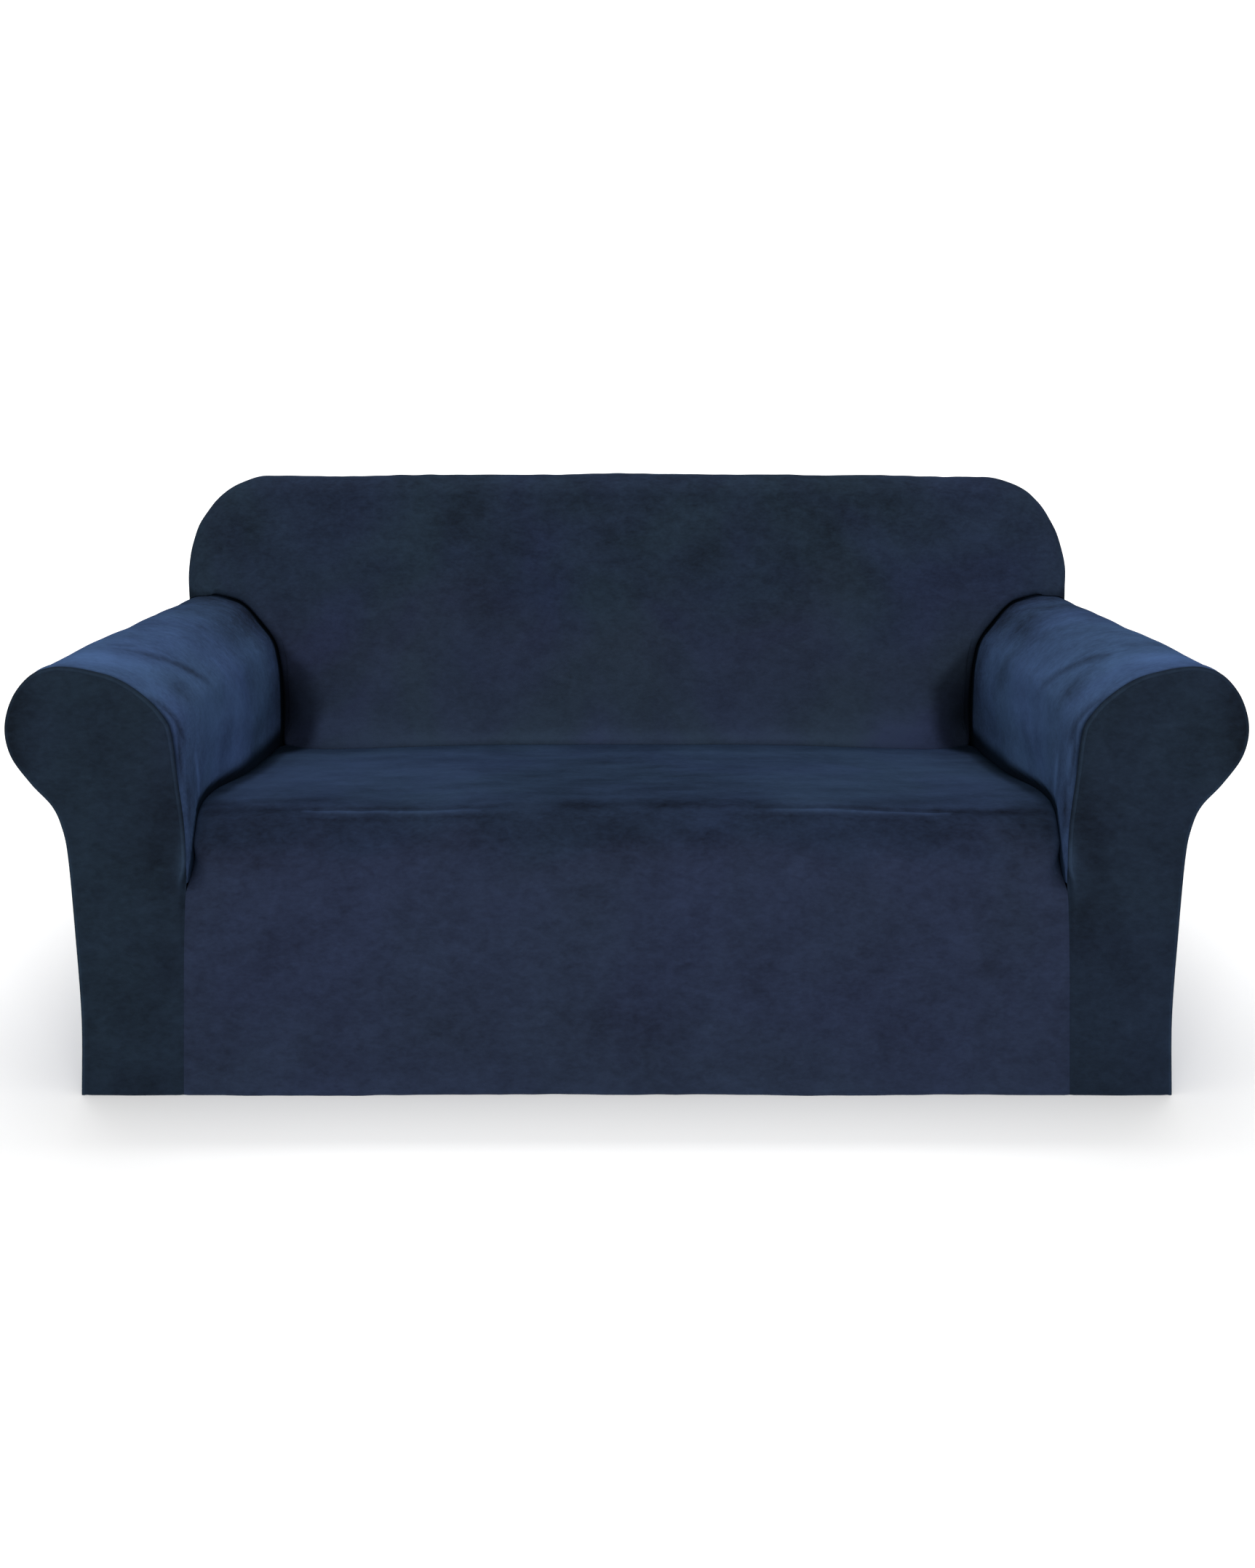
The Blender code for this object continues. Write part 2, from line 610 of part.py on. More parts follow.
def seat_half():
    """Columns of the right half of the seat and skirt, from the middle to the tucked edge."""
    edge = seat_section(SKIRT_HALF)
    columns = []
    for share in SEAT_COLUMNS:
        column = []
        for row, (edge_depth, edge_z, turn) in enumerate(edge):
            limit = SKIRT_HALF
            if turn > 0:
                limit = wall_x(Y_FRONT + edge_depth, max(edge_z, SEAT_SEAM_Z)) - TUCK_GAP
            x = share * (limit - SEAM_GAP / 2 - turned_edge(SEAT_TURN[-1], turn)[0])
            depth, z, _ = seat_section(x)[row]
            column.append((x, Y_FRONT + depth, z))
        columns.append(column)
    last = columns[-1]
    turned = np.zeros((len(SEAT_TURN), len(edge), 3))
    for row, (_, _, turn) in enumerate(edge):
        x, y, z = last[row]
        down, sink = tuck_direction(y - Y_FRONT, z)
        for number, place in enumerate(SEAT_TURN):
            out, inward = turned_edge(place, turn)
            turned[number, row] = (x + out, y + down * inward, z + sink * inward)
        if turn == 0:
            continue
        walls = [wall_x(y, max(z, SEAT_SEAM_Z)) - TUCK_GAP for _, y, z in turned[:, row]]
        spread = walls[-1] - turned[-1, row, 0]
        turned[:, row, 0] += spread * (np.array(SEAT_TURN) / SEAT_TURN[-1])
        turned[:, row, 0] = np.minimum(turned[:, row, 0], walls)
    return np.array(columns + list(turned))


def add_seat_skirt():
    half = seat_half()
    outer = np.vstack([mirrored(half[:0:-1]), half])
    inner = outer - CLOTH * vertex_normals(outer)
    sewn = sum(turn == 0 for *_, turn in SEAT_SECTION)
    for column, sign in ((0, -1), (-1, 1)):
        inner[column, :sewn] = outer[column, :sewn] + (0.0, CLOTH, 0.0)
    inner[:, 0] = outer[:, 0] + (0.0, CLOTH, 0.0)
    add_shell("seat_skirt", outer, inner, COLOURS["seat_skirt"])


for old in list(bpy.data.objects):
    bpy.data.objects.remove(old)

add_arms()
add_arm_fronts()
add_backs()
add_seat_skirt()
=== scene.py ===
"""Fitted velvet slipcover of a two-seat sofa with rolled arms: its seven cloth panels in full detail.

Metres, +Z up, the front faces -Y. Each panel starts from the same named sizes as its solid, as a coarse grid
of points. The grid is refined to a smooth surface, gets its seams, folds, nap and painted light and shade,
is given the cloth's thickness, and then stands for the plain solid of that panel.
"""

import math

import bpy
import numpy as np
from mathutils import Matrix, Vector
from mathutils.geometry import delaunay_2d_cdt


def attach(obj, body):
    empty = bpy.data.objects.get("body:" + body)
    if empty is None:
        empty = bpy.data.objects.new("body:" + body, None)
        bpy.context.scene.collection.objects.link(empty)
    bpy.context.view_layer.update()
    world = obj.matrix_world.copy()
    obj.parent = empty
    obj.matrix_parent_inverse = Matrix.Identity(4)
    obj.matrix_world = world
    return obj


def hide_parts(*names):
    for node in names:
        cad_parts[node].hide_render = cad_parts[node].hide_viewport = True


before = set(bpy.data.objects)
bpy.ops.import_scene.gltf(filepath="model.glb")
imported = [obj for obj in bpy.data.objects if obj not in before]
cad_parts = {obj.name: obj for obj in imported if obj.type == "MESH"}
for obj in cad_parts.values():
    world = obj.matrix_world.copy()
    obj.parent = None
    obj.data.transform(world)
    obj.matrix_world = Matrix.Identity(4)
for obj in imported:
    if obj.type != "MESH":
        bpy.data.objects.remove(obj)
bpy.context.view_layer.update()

# --- Camera ---
EYE = (0.0, -2.290, 1.025)  # 1.85 m in front of the arms, looking level at the back
SENSOR = 36.0
EYE_LENS = 29.41
EYE_SHIFT = (0.00046, -0.2542)  # shares of the picture's longer side

# --- Sizes of the cover, as in the solids ---
TUCK_GAP = 0.0012
FOOT_GAP = TUCK_GAP * 1.5
SEAM_GAP = 0.0003
DEPTH = 0.880
Y_FRONT = -DEPTH / 2
SEAT_SEAM_Z = 0.300
SKIRT_HALF = 0.640
TUCK_DEPTH = 0.034
TUCK_BOTTOM = 0.302
CREASE_EDGE = 0.012
CREASE_RUN = 0.010
FACE_DEPTH = 0.590
FACE_HEIGHT = 0.345
FACE_LEAN = 0.224
FACE_CROWN = 0.007
CROWN_RISE = 0.460
CROWN_HALF = 0.900
CREASE_DROP = 0.009
CREASE_DROP_FROM = 0.200
BACK_EDGE = 0.048
BACK_TAPER = 0.017
HOLLOW = 0.028
HOLLOW_REACH = 0.075
HOLLOW_DEEPEST_X = 0.658
HOLLOW_BOTTOM = 0.365
HOLLOW_TOP = 0.475
ARM_SWELL = 0.0025
ARM_SINK = 0.0035
WALL_BOW = 0.022
WALL_BOW_LENGTH = 0.38
ARM_STRAIGHT = 0.60
ARM_SECTION = (
    # x, z, rear, bow
    (0.64, SEAT_SEAM_Z, 0.03, 1.0),
    (0.638, 0.34, 0.03, 1.0),
    (0.641, 0.393, 0.025, 0.9),
    (0.6505, 0.46, 0.014, 0.4),
    (0.659, 0.521, 0.018, 0.1),
    (0.6695, 0.544, 0.022, 0.0),
    (0.689, 0.567, 0.023, 0.0),
    (0.717, 0.589, 0.016, 0.0),
    (0.743, 0.603, 0.008, 0.0),
    (0.77, 0.611, 0.003, 0.0),
    (0.804, 0.6175, 0.0, 0.0),
    (0.834, 0.6175, 0.0, 0.0),
    (0.864, 0.6055, 0.0, 0.0),
    (0.889, 0.574, 0.0, 0.0),
    (0.9, 0.531, 0.0, 0.0),
    (0.891, 0.489, 0.0, 0.0),
    (0.862, 0.449, 0.0, 0.0),
    (0.831, 0.416, 0.0, 0.0),
    (0.8165, 0.384, 0.0, 0.0),
    (0.808, 0.342, 0.0, 0.0),
    (0.798, 0.237, 0.0, 0.0),
    (0.7885, 0.111, 0.0, 0.0),
    (0.788, 0.0, 0.0, 0.0),
)
ARM_STEP_ROLL = 0.018
ARM_STEP_WALL = 0.034
ROLL_BOTTOM_INNER = 0.500
ROLL_BOTTOM_OUTER = 0.400
ARM_DEPTHS = (0.0, 0.035, 0.075, 0.12, 0.17, 0.22, 0.28, 0.34, 0.41, 0.48, 0.55)
ARM_REAR_STEPS = 3
LANDING_MARGIN = 0.004
LANDING_EASE = 4
BACK_LANDING_X = 0.8680
BACK_SIDE_STEPS = 16
BACK_SIDE_FIRST_X = 0.812
BACK_SIDE_LAST_X = 0.615
BACK_TAPER_FULL = 13
FEET_CLOSER = 1.3
HEADS_CLOSER = 1.5
BACK_OUTLINE = (
    # x, z
    (0.87, 0.634),
    (0.87, 0.664),
    (0.8675, 0.694),
    (0.8605, 0.724),
    (0.8505, 0.752),
    (0.8345, 0.78),
    (0.8105, 0.807),
    (0.787, 0.8225),
    (0.755, 0.8355),
    (0.715, 0.8405),
    (0.5, 0.842),
    (0.25, 0.8435),
    (0.0, 0.844),
)
FACE_SHARES = (0.12, 0.26, 0.40, 0.55, 0.70, 0.85, 1.0)
EDGE_DEGREES = (22.5, 45.0, 67.5, 90.0)
BOXING_SHARES = (0.35, 0.7, 1.0)
SEAT_SECTION = (
    # depth, z, crown, turn
    (0.0, 0.0, 0.0, 0.0),
    (0.0, 0.1, 0.0, 0.0),
    (0.001, 0.2, 0.0, 0.0),
    (0.004, 0.255, 0.0, 0.0),
    (0.009, 0.289, 0.0, 0.0),
    (0.016, 0.312, 0.0, 0.45),
    (0.025, 0.334, 0.0, 0.8),
    (0.037, 0.353, 0.001, 1.0),
    (0.051, 0.368, 0.002, 1.0),
    (0.066, 0.3795, 0.003, 1.0),
    (0.087, 0.3865, 0.004, 1.0),
    (0.12, 0.3885, 0.004, 1.0),
    (0.17, 0.385, 0.004, 1.0),
    (0.22, 0.38, 0.004, 1.0),
    (0.28, 0.373, 0.004, 1.0),
    (0.34, 0.3665, 0.004, 1.0),
    (0.41, 0.359, 0.005, 1.0),
    (0.48, 0.352, 0.006, 1.0),
    (0.535, 0.348, 0.008, 1.0),
)
SEAT_CROWN = (0.25, 0.62)
SEAT_COLUMNS = (0.0, 0.15, 0.3, 0.44, 0.57, 0.69, 0.79, 0.87, 0.94, 1.0)
SEAT_TURN = (0.006, 0.0125, 0.019, 0.032, 0.045)
SEAT_AIM_FRONT = (0.165, 0.265)
SEAT_AIM_BACK = (0.490, 0.250)
SEAT_REAR_DEGREES = (0.0, 30.0, 60.0, 90.0)

# --- Details that the solids leave out ---
CLOTH = 0.0022  # thickness of the cloth
CELL = 0.0056  # spacing of the points of a panel
RIDGE = 0.0032  # radius of the raised line where an end panel is folded over its seam allowance
RIDGE_IN = 0.0031  # its middle lies this far inside the outline
RIDGE_BACK = 0.0018  # and this far behind the panel's plane
RIDGE_DEGREES = (-25, 0, 25, 50, 75, 95, 115, 135, 150)
SEAM_IN = 0.0092  # the seam lies this far behind the end panel's plane
SEAM_SINK = 0.0024  # and is sunk by this
SEAM_SOFT = 0.0040  # half width of the sunk line in a panel
FLAT_SEAM_SINK = 0.0010  # the seam between an end panel and the skirt


# --- Curves and grids ---
def smooth(value, low, high):
    """0 below low, 1 above high, and a soft step between. With low above high it falls from 1 to 0."""
    t = np.clip((np.asarray(value, float) - low) / (high - low), 0.0, 1.0)
    return t * t * (3 - 2 * t)


def hump(distance, width):
    """1 where distance is 0, falling softly to 0 at about twice the width."""
    return np.exp(-((np.asarray(distance) / width) ** 2))


def waves(points, height, wavelength, seed, stretch=(1.0, 1.0, 1.0), count=26):
    """A smooth random field over points, of about the given height: plane waves of mixed directions."""
    draw = np.random.default_rng(seed)
    direction = draw.normal(size=(count, 3))
    direction /= np.linalg.norm(direction, axis=1)[:, None]
    size = 2 * np.pi / (wavelength * draw.uniform(0.7, 1.6, (count, 1)))
    phase = draw.uniform(0, 2 * np.pi, count)
    spread = (points * np.array(stretch)) @ (direction * size).T + phase
    return height * np.sin(spread).sum(axis=-1) / math.sqrt(count / 2)


def curve_through(knots, per_span=24):
    """A dense Catmull-Rom curve through rows of numbers."""
    rows = np.array(knots, float)
    rows = np.vstack([2 * rows[0] - rows[1], rows, 2 * rows[-1] - rows[-2]])
    points = []
    for a, b, c, d in zip(rows, rows[1:], rows[2:], rows[3:]):
        for t in np.arange(per_span) / per_span:
            bend = (2 * a - 5 * b + 4 * c - d) * t**2 + (3 * b - a - 3 * c + d) * t**3
            points.append(b + 0.5 * ((c - a) * t + bend))
    return np.array(points + [rows[-2]])


def lengths_along(curve):
    """Distance along a curve at each of its points, measured in its first two columns."""
    steps = np.linalg.norm(np.diff(curve[:, :2], axis=0), axis=1)
    return np.concatenate([[0.0], np.cumsum(steps)])


def at_lengths(curve, lengths):
    """The curve's rows at the given distances along it."""
    along = lengths_along(curve)
    return np.stack([np.interp(lengths, along, column) for column in curve.T], axis=1)


def mitres(outline):
    """For each point of an open outline in x and z with its outside on the left, the inward unit offset."""
    steps = np.diff(outline[:, :2], axis=0)
    normals = np.stack([-steps[:, 1], steps[:, 0]], axis=1)
    normals /= np.linalg.norm(normals, axis=1)[:, None]
    before = np.vstack([normals[:1], normals])
    after = np.vstack([normals, normals[-1:]])
    return -(before + after) / (1 + (before * after).sum(axis=1))[:, None]


def vertex_normals(grid):
    """Unit normals of a grid of points, pointing to the side from which i x j turns left."""
    normals = np.cross(np.gradient(grid, axis=0), np.gradient(grid, axis=1))
    return normals / np.linalg.norm(normals, axis=2)[:, :, None]


def spacing(grid, axis):
    """Mean distance along one axis of a grid at each of its lines."""
    steps = np.linalg.norm(np.diff(grid, axis=axis), axis=2).mean(axis=1 - axis)
    return np.concatenate([[0.0], np.cumsum(steps)])


def refined_once(grid, knots, places):
    """The grid's smooth surface at places along its first axis: Catmull-Rom by each line's own lengths."""
    steps = np.linalg.norm(np.diff(grid, axis=0), axis=2)[..., None]
    chords = np.diff(grid, axis=0) / steps
    slopes = np.concatenate([chords[:1], chords[:-1], chords[-1:]])
    slopes[1:-1] = (chords[:-1] * steps[1:] + chords[1:] * steps[:-1]) / (steps[1:] + steps[:-1])
    cell = np.clip(np.searchsorted(knots, places, side="right") - 1, 0, len(knots) - 2)
    t = ((places - knots[cell]) / (knots[cell + 1] - knots[cell]))[:, None, None]
    return (
        (2 * t**3 - 3 * t**2 + 1) * grid[cell]
        + (3 * t**2 - 2 * t**3) * grid[cell + 1]
        + (t**3 - 2 * t**2 + t) * steps[cell] * slopes[cell]
        + (t**3 - t**2) * steps[cell] * slopes[cell + 1]
    )


def refined(grid, rows, columns, measured=None):
    """The grid's smooth surface at the given mean distances along its rows and columns.

    The distances are those of the measured grid, where it isn't the grid itself.
    """
    measured = grid if measured is None else measured
    across, along = spacing(measured, 0), spacing(measured, 1)
    wide = refined_once(grid, across, rows).swapaxes(0, 1)
    return refined_once(wide, along, columns).swapaxes(0, 1)


def stepped(start, end, step, through=()):
    """Even distances from start to end about step apart, that include each one in through."""
    stops = [start, *through, end]
    places = [start]
    for low, high in zip(stops, stops[1:]):
        count = max(round((high - low) / step), 1)
        places.extend(low + (high - low) * (n + 1) / count for n in range(count))
    return np.array(places)


NEAR_SEAM = (0.0, 0.0012, 0.0024, 0.0038, 0.0056, 0.0080, 0.0110)  # finer points beside a seam


def with_seams(places, first=True):
    """A row of distances with finer points at its end and, with first, at its start."""
    start, end = places[0], places[-1]
    low = start + NEAR_SEAM[-1] + CELL / 3 if first else start - 1
    high = end - NEAR_SEAM[-1] - CELL / 3
    head = [start + n for n in NEAR_SEAM] if first else []
    tail = [end - n for n in NEAR_SEAM[::-1]]
    return np.array(head + [p for p in places if low < p < high] + tail)


# --- The coarse panels, as in the solids ---
def arm_section():
    curve = curve_through(ARM_SECTION)
    along = lengths_along(curve)
    first_roll = along[np.argmax(curve[:, 1] > ROLL_BOTTOM_INNER)]
    last_roll = along[np.nonzero(curve[:, 1] > ROLL_BOTTOM_OUTER)[0][-1]]
    stretches = (
        (0.0, first_roll, ARM_STEP_WALL),
        (first_roll, last_roll, ARM_STEP_ROLL),
        (last_roll, along[-1], ARM_STEP_WALL),
    )
    places = [stepped(*stretch)[1:] for stretch in stretches]
    return at_lengths(curve, np.concatenate([[0.0], *places]))


SECTION = arm_section()


def arm_outline(depth):
    """The arm's section, x and z, at a depth behind the front."""
    back = smooth(depth, 0.0, ARM_STRAIGHT)
    bow = WALL_BOW * math.sin(math.pi * min(depth / WALL_BOW_LENGTH, 1.0)) ** 2
    swell = ARM_SWELL * math.sin(math.pi * min(depth / ARM_STRAIGHT, 1.0)) - ARM_SINK * back
    share = smooth(SECTION[:, 1], 0.0, ROLL_BOTTOM_INNER)
    outline = SECTION[:, :2].copy()
    outline[:, 0] += SECTION[:, 2] * back + SECTION[:, 3] * bow
    outline -= mitres(SECTION) * (swell * share)[:, None] * (1 - SECTION[:, 3:4])
    return outline


LANDING = int(np.argmin(np.abs(SECTION[: np.argmax(SECTION[:, 0]), 0] - BACK_LANDING_X)))


def face_depth(x, z):
    """Depth of the back's face behind the front of the arms."""
    rise = np.clip((z - FACE_HEIGHT) / CROWN_RISE, 0.0, 1.0)
    crown = FACE_CROWN * (1 - (x / CROWN_HALF) ** 2) * np.sin(math.pi * rise)
    near_arm = 1 - smooth(HOLLOW_DEEPEST_X - np.abs(x), 0.0, HOLLOW_REACH)
    hollow = HOLLOW * near_arm * (1 - smooth(z, HOLLOW_BOTTOM, HOLLOW_TOP))
    return FACE_DEPTH + FACE_LEAN * (z - FACE_HEIGHT) - crown + hollow


def arm_grid():
    """Points of the right arm's outside, and the column at which the part under the back ends."""
    rear_outline = arm_outline(ARM_STRAIGHT)
    landing_depth = face_depth(*rear_outline[LANDING]) + BACK_EDGE + LANDING_MARGIN
    rows = []
    for index, (x, z) in enumerate(rear_outline):
        tucked = min(face_depth(x, z) + TUCK_DEPTH, landing_depth)
        end = landing_depth + (tucked - landing_depth) * smooth(LANDING - index, 0, LANDING_EASE)
        depths = [*ARM_DEPTHS, (ARM_DEPTHS[-1] + end) / 2, end]
        depths += [end + (DEPTH - end) * (n + 1) / ARM_REAR_STEPS for n in range(ARM_REAR_STEPS)]
        points = [arm_outline(depth)[index] for depth in depths]
        rows.append([(x, Y_FRONT + depth, z) for (x, z), depth in zip(points, depths)])
    return np.array(rows), len(ARM_DEPTHS) + 1


ARM_GRID, ARM_END_COLUMN = arm_grid()


def wall_x(y, z):
    """x of the right arm's inner wall at a place beside the seat."""
    wall = ARM_GRID[: np.argmax(ARM_GRID[:, 0, 2] > ROLL_BOTTOM_INNER)]
    at_y = np.array([(np.interp(y, r[:, 1], r[:, 2]), np.interp(y, r[:, 1], r[:, 0])) for r in wall])
    return np.interp(z, at_y[:, 0], at_y[:, 1])


def back_outline():
    x, z = arm_outline(DEPTH)[LANDING]
    curve = curve_through(((x, z + SEAM_GAP), *BACK_OUTLINE))
    along = lengths_along(curve)
    side_end = along[np.argmax(curve[:, 0] < BACK_SIDE_LAST_X)]
    side = side_end * (1 - (1 - np.linspace(0, 1, BACK_SIDE_STEPS + 1)) ** HEADS_CLOSER)
    top = side_end + (along[-1] - side_end) * (1 - np.array(SEAT_COLUMNS[-2::-1]))
    return at_lengths(curve, np.concatenate([side, top]))


def back_feet():
    """Where the face is tucked beside the arm, from the roll down to the seat: x, z and way out."""
    outline = np.hstack([arm_outline(ARM_STRAIGHT), -mitres(SECTION)])[: LANDING + 1][::-1]
    outline = outline[outline[:, 1] > FACE_HEIGHT]
    along = lengths_along(outline)
    first = np.interp(-BACK_SIDE_FIRST_X, -outline[:, 0], along)
    shares = np.linspace(0, 1, BACK_SIDE_STEPS) ** FEET_CLOSER
    return at_lengths(outline, first + (along[-1] - first) * shares)


def roll_height(x):
    """z of the top of the roll at an x."""
    outline = arm_outline(ARM_STRAIGHT)
    first = np.argmax(outline[:, 1] > ROLL_BOTTOM_INNER)
    upper = outline[first : np.argmax(outline[:, 0]) + 1]
    return np.interp(x, upper[:, 0], upper[:, 1])


def turned_edge(place, turn):
    """How far on and how far in the cloth has gone, at a length past where it starts to turn."""
    if turn == 0:
        return place, 0.0
    angle = turn * math.pi / 2
    radius = CREASE_EDGE / turn
    bent = min(place, radius * angle)
    out = radius * math.sin(bent / radius) + (place - bent) * math.cos(angle)
    inward = radius * (1 - math.cos(bent / radius)) + (place - bent) * math.sin(angle)
    return out, inward


def face_column(foot, away, head, turning):
    """Points up the face from its tucked end at foot to the outline's inset at head."""
    arc = CREASE_EDGE * math.pi / 2
    places = (arc + TUCK_DEPTH - CREASE_EDGE, arc + CREASE_RUN, arc, arc * 2 / 3, arc / 3, 0.0)
    start = foot + away * CREASE_EDGE
    points = []
    for place in places:
        down, back = turned_edge(place, turning)
        x, z = start - away * down
        points.append((x, Y_FRONT + face_depth(x, z) + back, z))
    for share in FACE_SHARES:
        x, z = start + (head - start) * share
        points.append((x, Y_FRONT + face_depth(x, z), z))
    return points


def edge_and_boxing(rim, outward, taper):
    """Points from the face's rim round the edge and along the boxing to the rear seam."""
    points = []
    base = rim - outward * BACK_EDGE
    for degrees in EDGE_DEGREES:
        angle = math.radians(degrees)
        x, z = base + outward * BACK_EDGE * math.sin(angle)
        depth = face_depth(*base) + BACK_EDGE * (1 - math.cos(angle))
        points.append((x, Y_FRONT + depth, z))
    start = points[-1][1]
    for share in BOXING_SHARES:
        x, z = rim - outward * BACK_TAPER * taper * share**2
        points.append((x, start + (DEPTH / 2 - start) * share, z))
    return points


def mirrored(points):
    return points * np.array([-1.0, 1.0, 1.0])


def back_grid():
    """Points of the inside back's outside, from the right arm to the left one."""
    feet = back_feet()
    rims = back_outline()
    outwards = -mitres(rims[::-1])[::-1]
    outwards[0] = (1.0, 0.0)
    outwards[-1] = (0.0, 1.0)
    half = feet[-1, 0] - TUCK_GAP - CREASE_EDGE
    columns = []
    for number, (rim, outward) in enumerate(zip(rims, outwards)):
        if number < BACK_SIDE_STEPS:
            away = feet[number, 2:] / np.linalg.norm(feet[number, 2:])
            foot = feet[number, :2] + away * FOOT_GAP
            turning = 1.0
        else:
            x = half * SEAT_COLUMNS[BACK_SIDE_STEPS - 1 - number]
            away = np.array([0.0, 1.0])
            foot = np.array([x, FACE_HEIGHT - CREASE_DROP * smooth(x, CREASE_DROP_FROM, half) - CREASE_EDGE])
            turning = 0.5 if number == BACK_SIDE_STEPS else 0.0
        face = face_column(foot, away, rim - outward * BACK_EDGE, turning)
        columns.append(face + edge_and_boxing(rim, outward, smooth(number, 0, BACK_TAPER_FULL)))
    grid = np.array(columns)
    for point in grid[0]:
        point[2] = roll_height(point[0]) + TUCK_GAP
    return np.vstack([grid, mirrored(grid[-2::-1])])


BACK_GRID = back_grid()


def seat_section(x):
    side = smooth(x, *SEAT_CROWN)
    rows = [(depth, z - crown * side, turn) for depth, z, crown, turn in SEAT_SECTION]
    last_depth, last_z, _ = rows[-1]
    crease_z = FACE_HEIGHT - CREASE_DROP * smooth(x, CREASE_DROP_FROM, SKIRT_HALF)
    edge_depth = face_depth(x, crease_z - CREASE_EDGE) - TUCK_GAP - CREASE_EDGE
    rows.append(((last_depth + edge_depth) / 2, (last_z + crease_z) / 2, 1.0))
    for degrees in SEAT_REAR_DEGREES:
        angle = math.radians(degrees)
        z = crease_z - CREASE_EDGE * (1 - math.cos(angle))
        rows.append((edge_depth + CREASE_EDGE * math.sin(angle), z, 1.0))
    for z in (crease_z - CREASE_EDGE - CREASE_RUN, TUCK_BOTTOM):
        rows.append((face_depth(x, z) - TUCK_GAP, z, 1.0))
    return rows


def tuck_direction(depth, z):
    """Direction in depth and z in which the tucked side edge of the seat runs on."""
    aim = (depth, 0.0)
    if depth < SEAT_AIM_FRONT[0]:
        aim = SEAT_AIM_FRONT
    elif depth > SEAT_AIM_BACK[0]:
        aim = SEAT_AIM_BACK
    direction = np.array([aim[0] - depth, aim[1] - z])
    return direction / np.linalg.norm(direction)


def seat_grid():
    """Points of the seat and skirt's outside, from the left edge to the right one."""
    edge = seat_section(SKIRT_HALF)
    columns = []
    for share in SEAT_COLUMNS:
        column = []
        for row, (edge_depth, edge_z, turn) in enumerate(edge):
            limit = SKIRT_HALF
            if turn > 0:
                limit = wall_x(Y_FRONT + edge_depth, max(edge_z, SEAT_SEAM_Z)) - TUCK_GAP
            x = share * (limit - SEAM_GAP / 2 - turned_edge(SEAT_TURN[-1], turn)[0])
            depth, z, _ = seat_section(x)[row]
            column.append((x, Y_FRONT + depth, z))
        columns.append(column)
    last = columns[-1]
    turned = np.zeros((len(SEAT_TURN), len(edge), 3))
    for row, (_, _, turn) in enumerate(edge):
        x, y, z = last[row]
        down, sink = tuck_direction(y - Y_FRONT, z)
        for number, place in enumerate(SEAT_TURN):
            out, inward = turned_edge(place, turn)
            turned[number, row] = (x + out, y + down * inward, z + sink * inward)
        if turn == 0:
            continue
        walls = [wall_x(y, max(z, SEAT_SEAM_Z)) - TUCK_GAP for _, y, z in turned[:, row]]
        spread = walls[-1] - turned[-1, row, 0]
        turned[:, row, 0] += spread * (np.array(SEAT_TURN) / SEAT_TURN[-1])
        turned[:, row, 0] = np.minimum(turned[:, row, 0], walls)
    half = np.array(columns + list(turned))
    return np.vstack([mirrored(half[:0:-1]), half])


# --- Velvet ---
VELVET = {
    # colour, sheen weight, sheen tint, share of the hue's patches; the arm's colour, lighter and bluer than
    # the arm fronts', is partly painted light and painted sheen in place of a higher sheen weight
    "arm": ((0.0262, 0.0448, 0.0930), 0.012, (0.20, 0.50, 1.00), 0.5),
    "arm_front": ((0.0092, 0.0146, 0.0240), 0.015, (0.34, 0.55, 0.86), 0.5),
    "seat_skirt": ((0.0142, 0.0196, 0.0368), 0.012, (0.15, 0.50, 1.00), 0.4),
    "back": ((0.0154, 0.0212, 0.0374), 0.012, (0.34, 0.55, 0.86), 1.0),
}
DARK_NAP_AND_PAINTED_SHADE = (0.20, 0.10, 0.05)  # share of the colour where the nap, with its painted shade, is 0.5 below its middle
LIGHT_NAP_AND_PAINTED_LIGHT = (1.76, 1.90, 2.00)  # and where the nap, with its painted light, is 0.5 above
NOISE_GAIN = 4.0  # noise mostly stays within a quarter of its middle
PAINTED_SHADE = (0.0012, 0.0015, 0.0016)  # painted shade: the colour deep in a crease or hollow
BLUE = (0.92, 1.05, 1.06)  # a bluer hue: painted sheen on the seat's top against the skirt, and the top of the back against its foot
HUE_TEAL = (0.98, 1.04, 0.92)
HUE_PLUM = (1.03, 0.97, 1.09)
HUE_SIZE = 3.4  # tinted patches per metre
PILE_ROUGHNESS = 0.95
SHEEN_ROUGHNESS = 0.40
BUMP_STRENGTH = 0.5
PATCHES = (
    # patches per metre, share, stretch along x
    (6.0, 0.03, 0.8),
    (19.0, 0.048, 0.75),
    (64.0, 0.08, 0.65),
    (210.0, 0.075, 0.55),
)
PILE_PER_METRE = 620.0
PILE_DEPTH = 0.00040
CLUMPS_PER_METRE = 70.0
CLUMP_DEPTH = 0.0007


def node(tree, kind, **settings):
    made = tree.nodes.new(kind)
    for key, value in settings.items():
        if key in made.inputs:
            made.inputs[key].default_value = value
        else:
            setattr(made, key, value)
    return made


def maths(tree, operation, first, second):
    made = node(tree, "ShaderNodeMath", operation=operation)
    for number, value in enumerate((first, second)):
        if isinstance(value, (int, float)):
            made.inputs[number].default_value = value
        else:
            tree.links.new(value, made.inputs[number])
    return made.outputs[0]


def noise(tree, scale, stretch=1.0, detail=3.0, distortion=0.5):
    """Noise in the object's own coordinates, from 0 to 1 and mostly about 0.5."""
    place = node(tree, "ShaderNodeTexCoord").outputs["Object"]
    spread = node(tree, "ShaderNodeMapping", Scale=(stretch, 1.0, 1.0))
    made = node(tree, "ShaderNodeTexNoise", Scale=scale, Detail=detail, Distortion=distortion)
    tree.links.new(place, spread.inputs["Vector"])
    tree.links.new(spread.outputs["Vector"], made.inputs["Vector"])
    return made.outputs["Fac"]


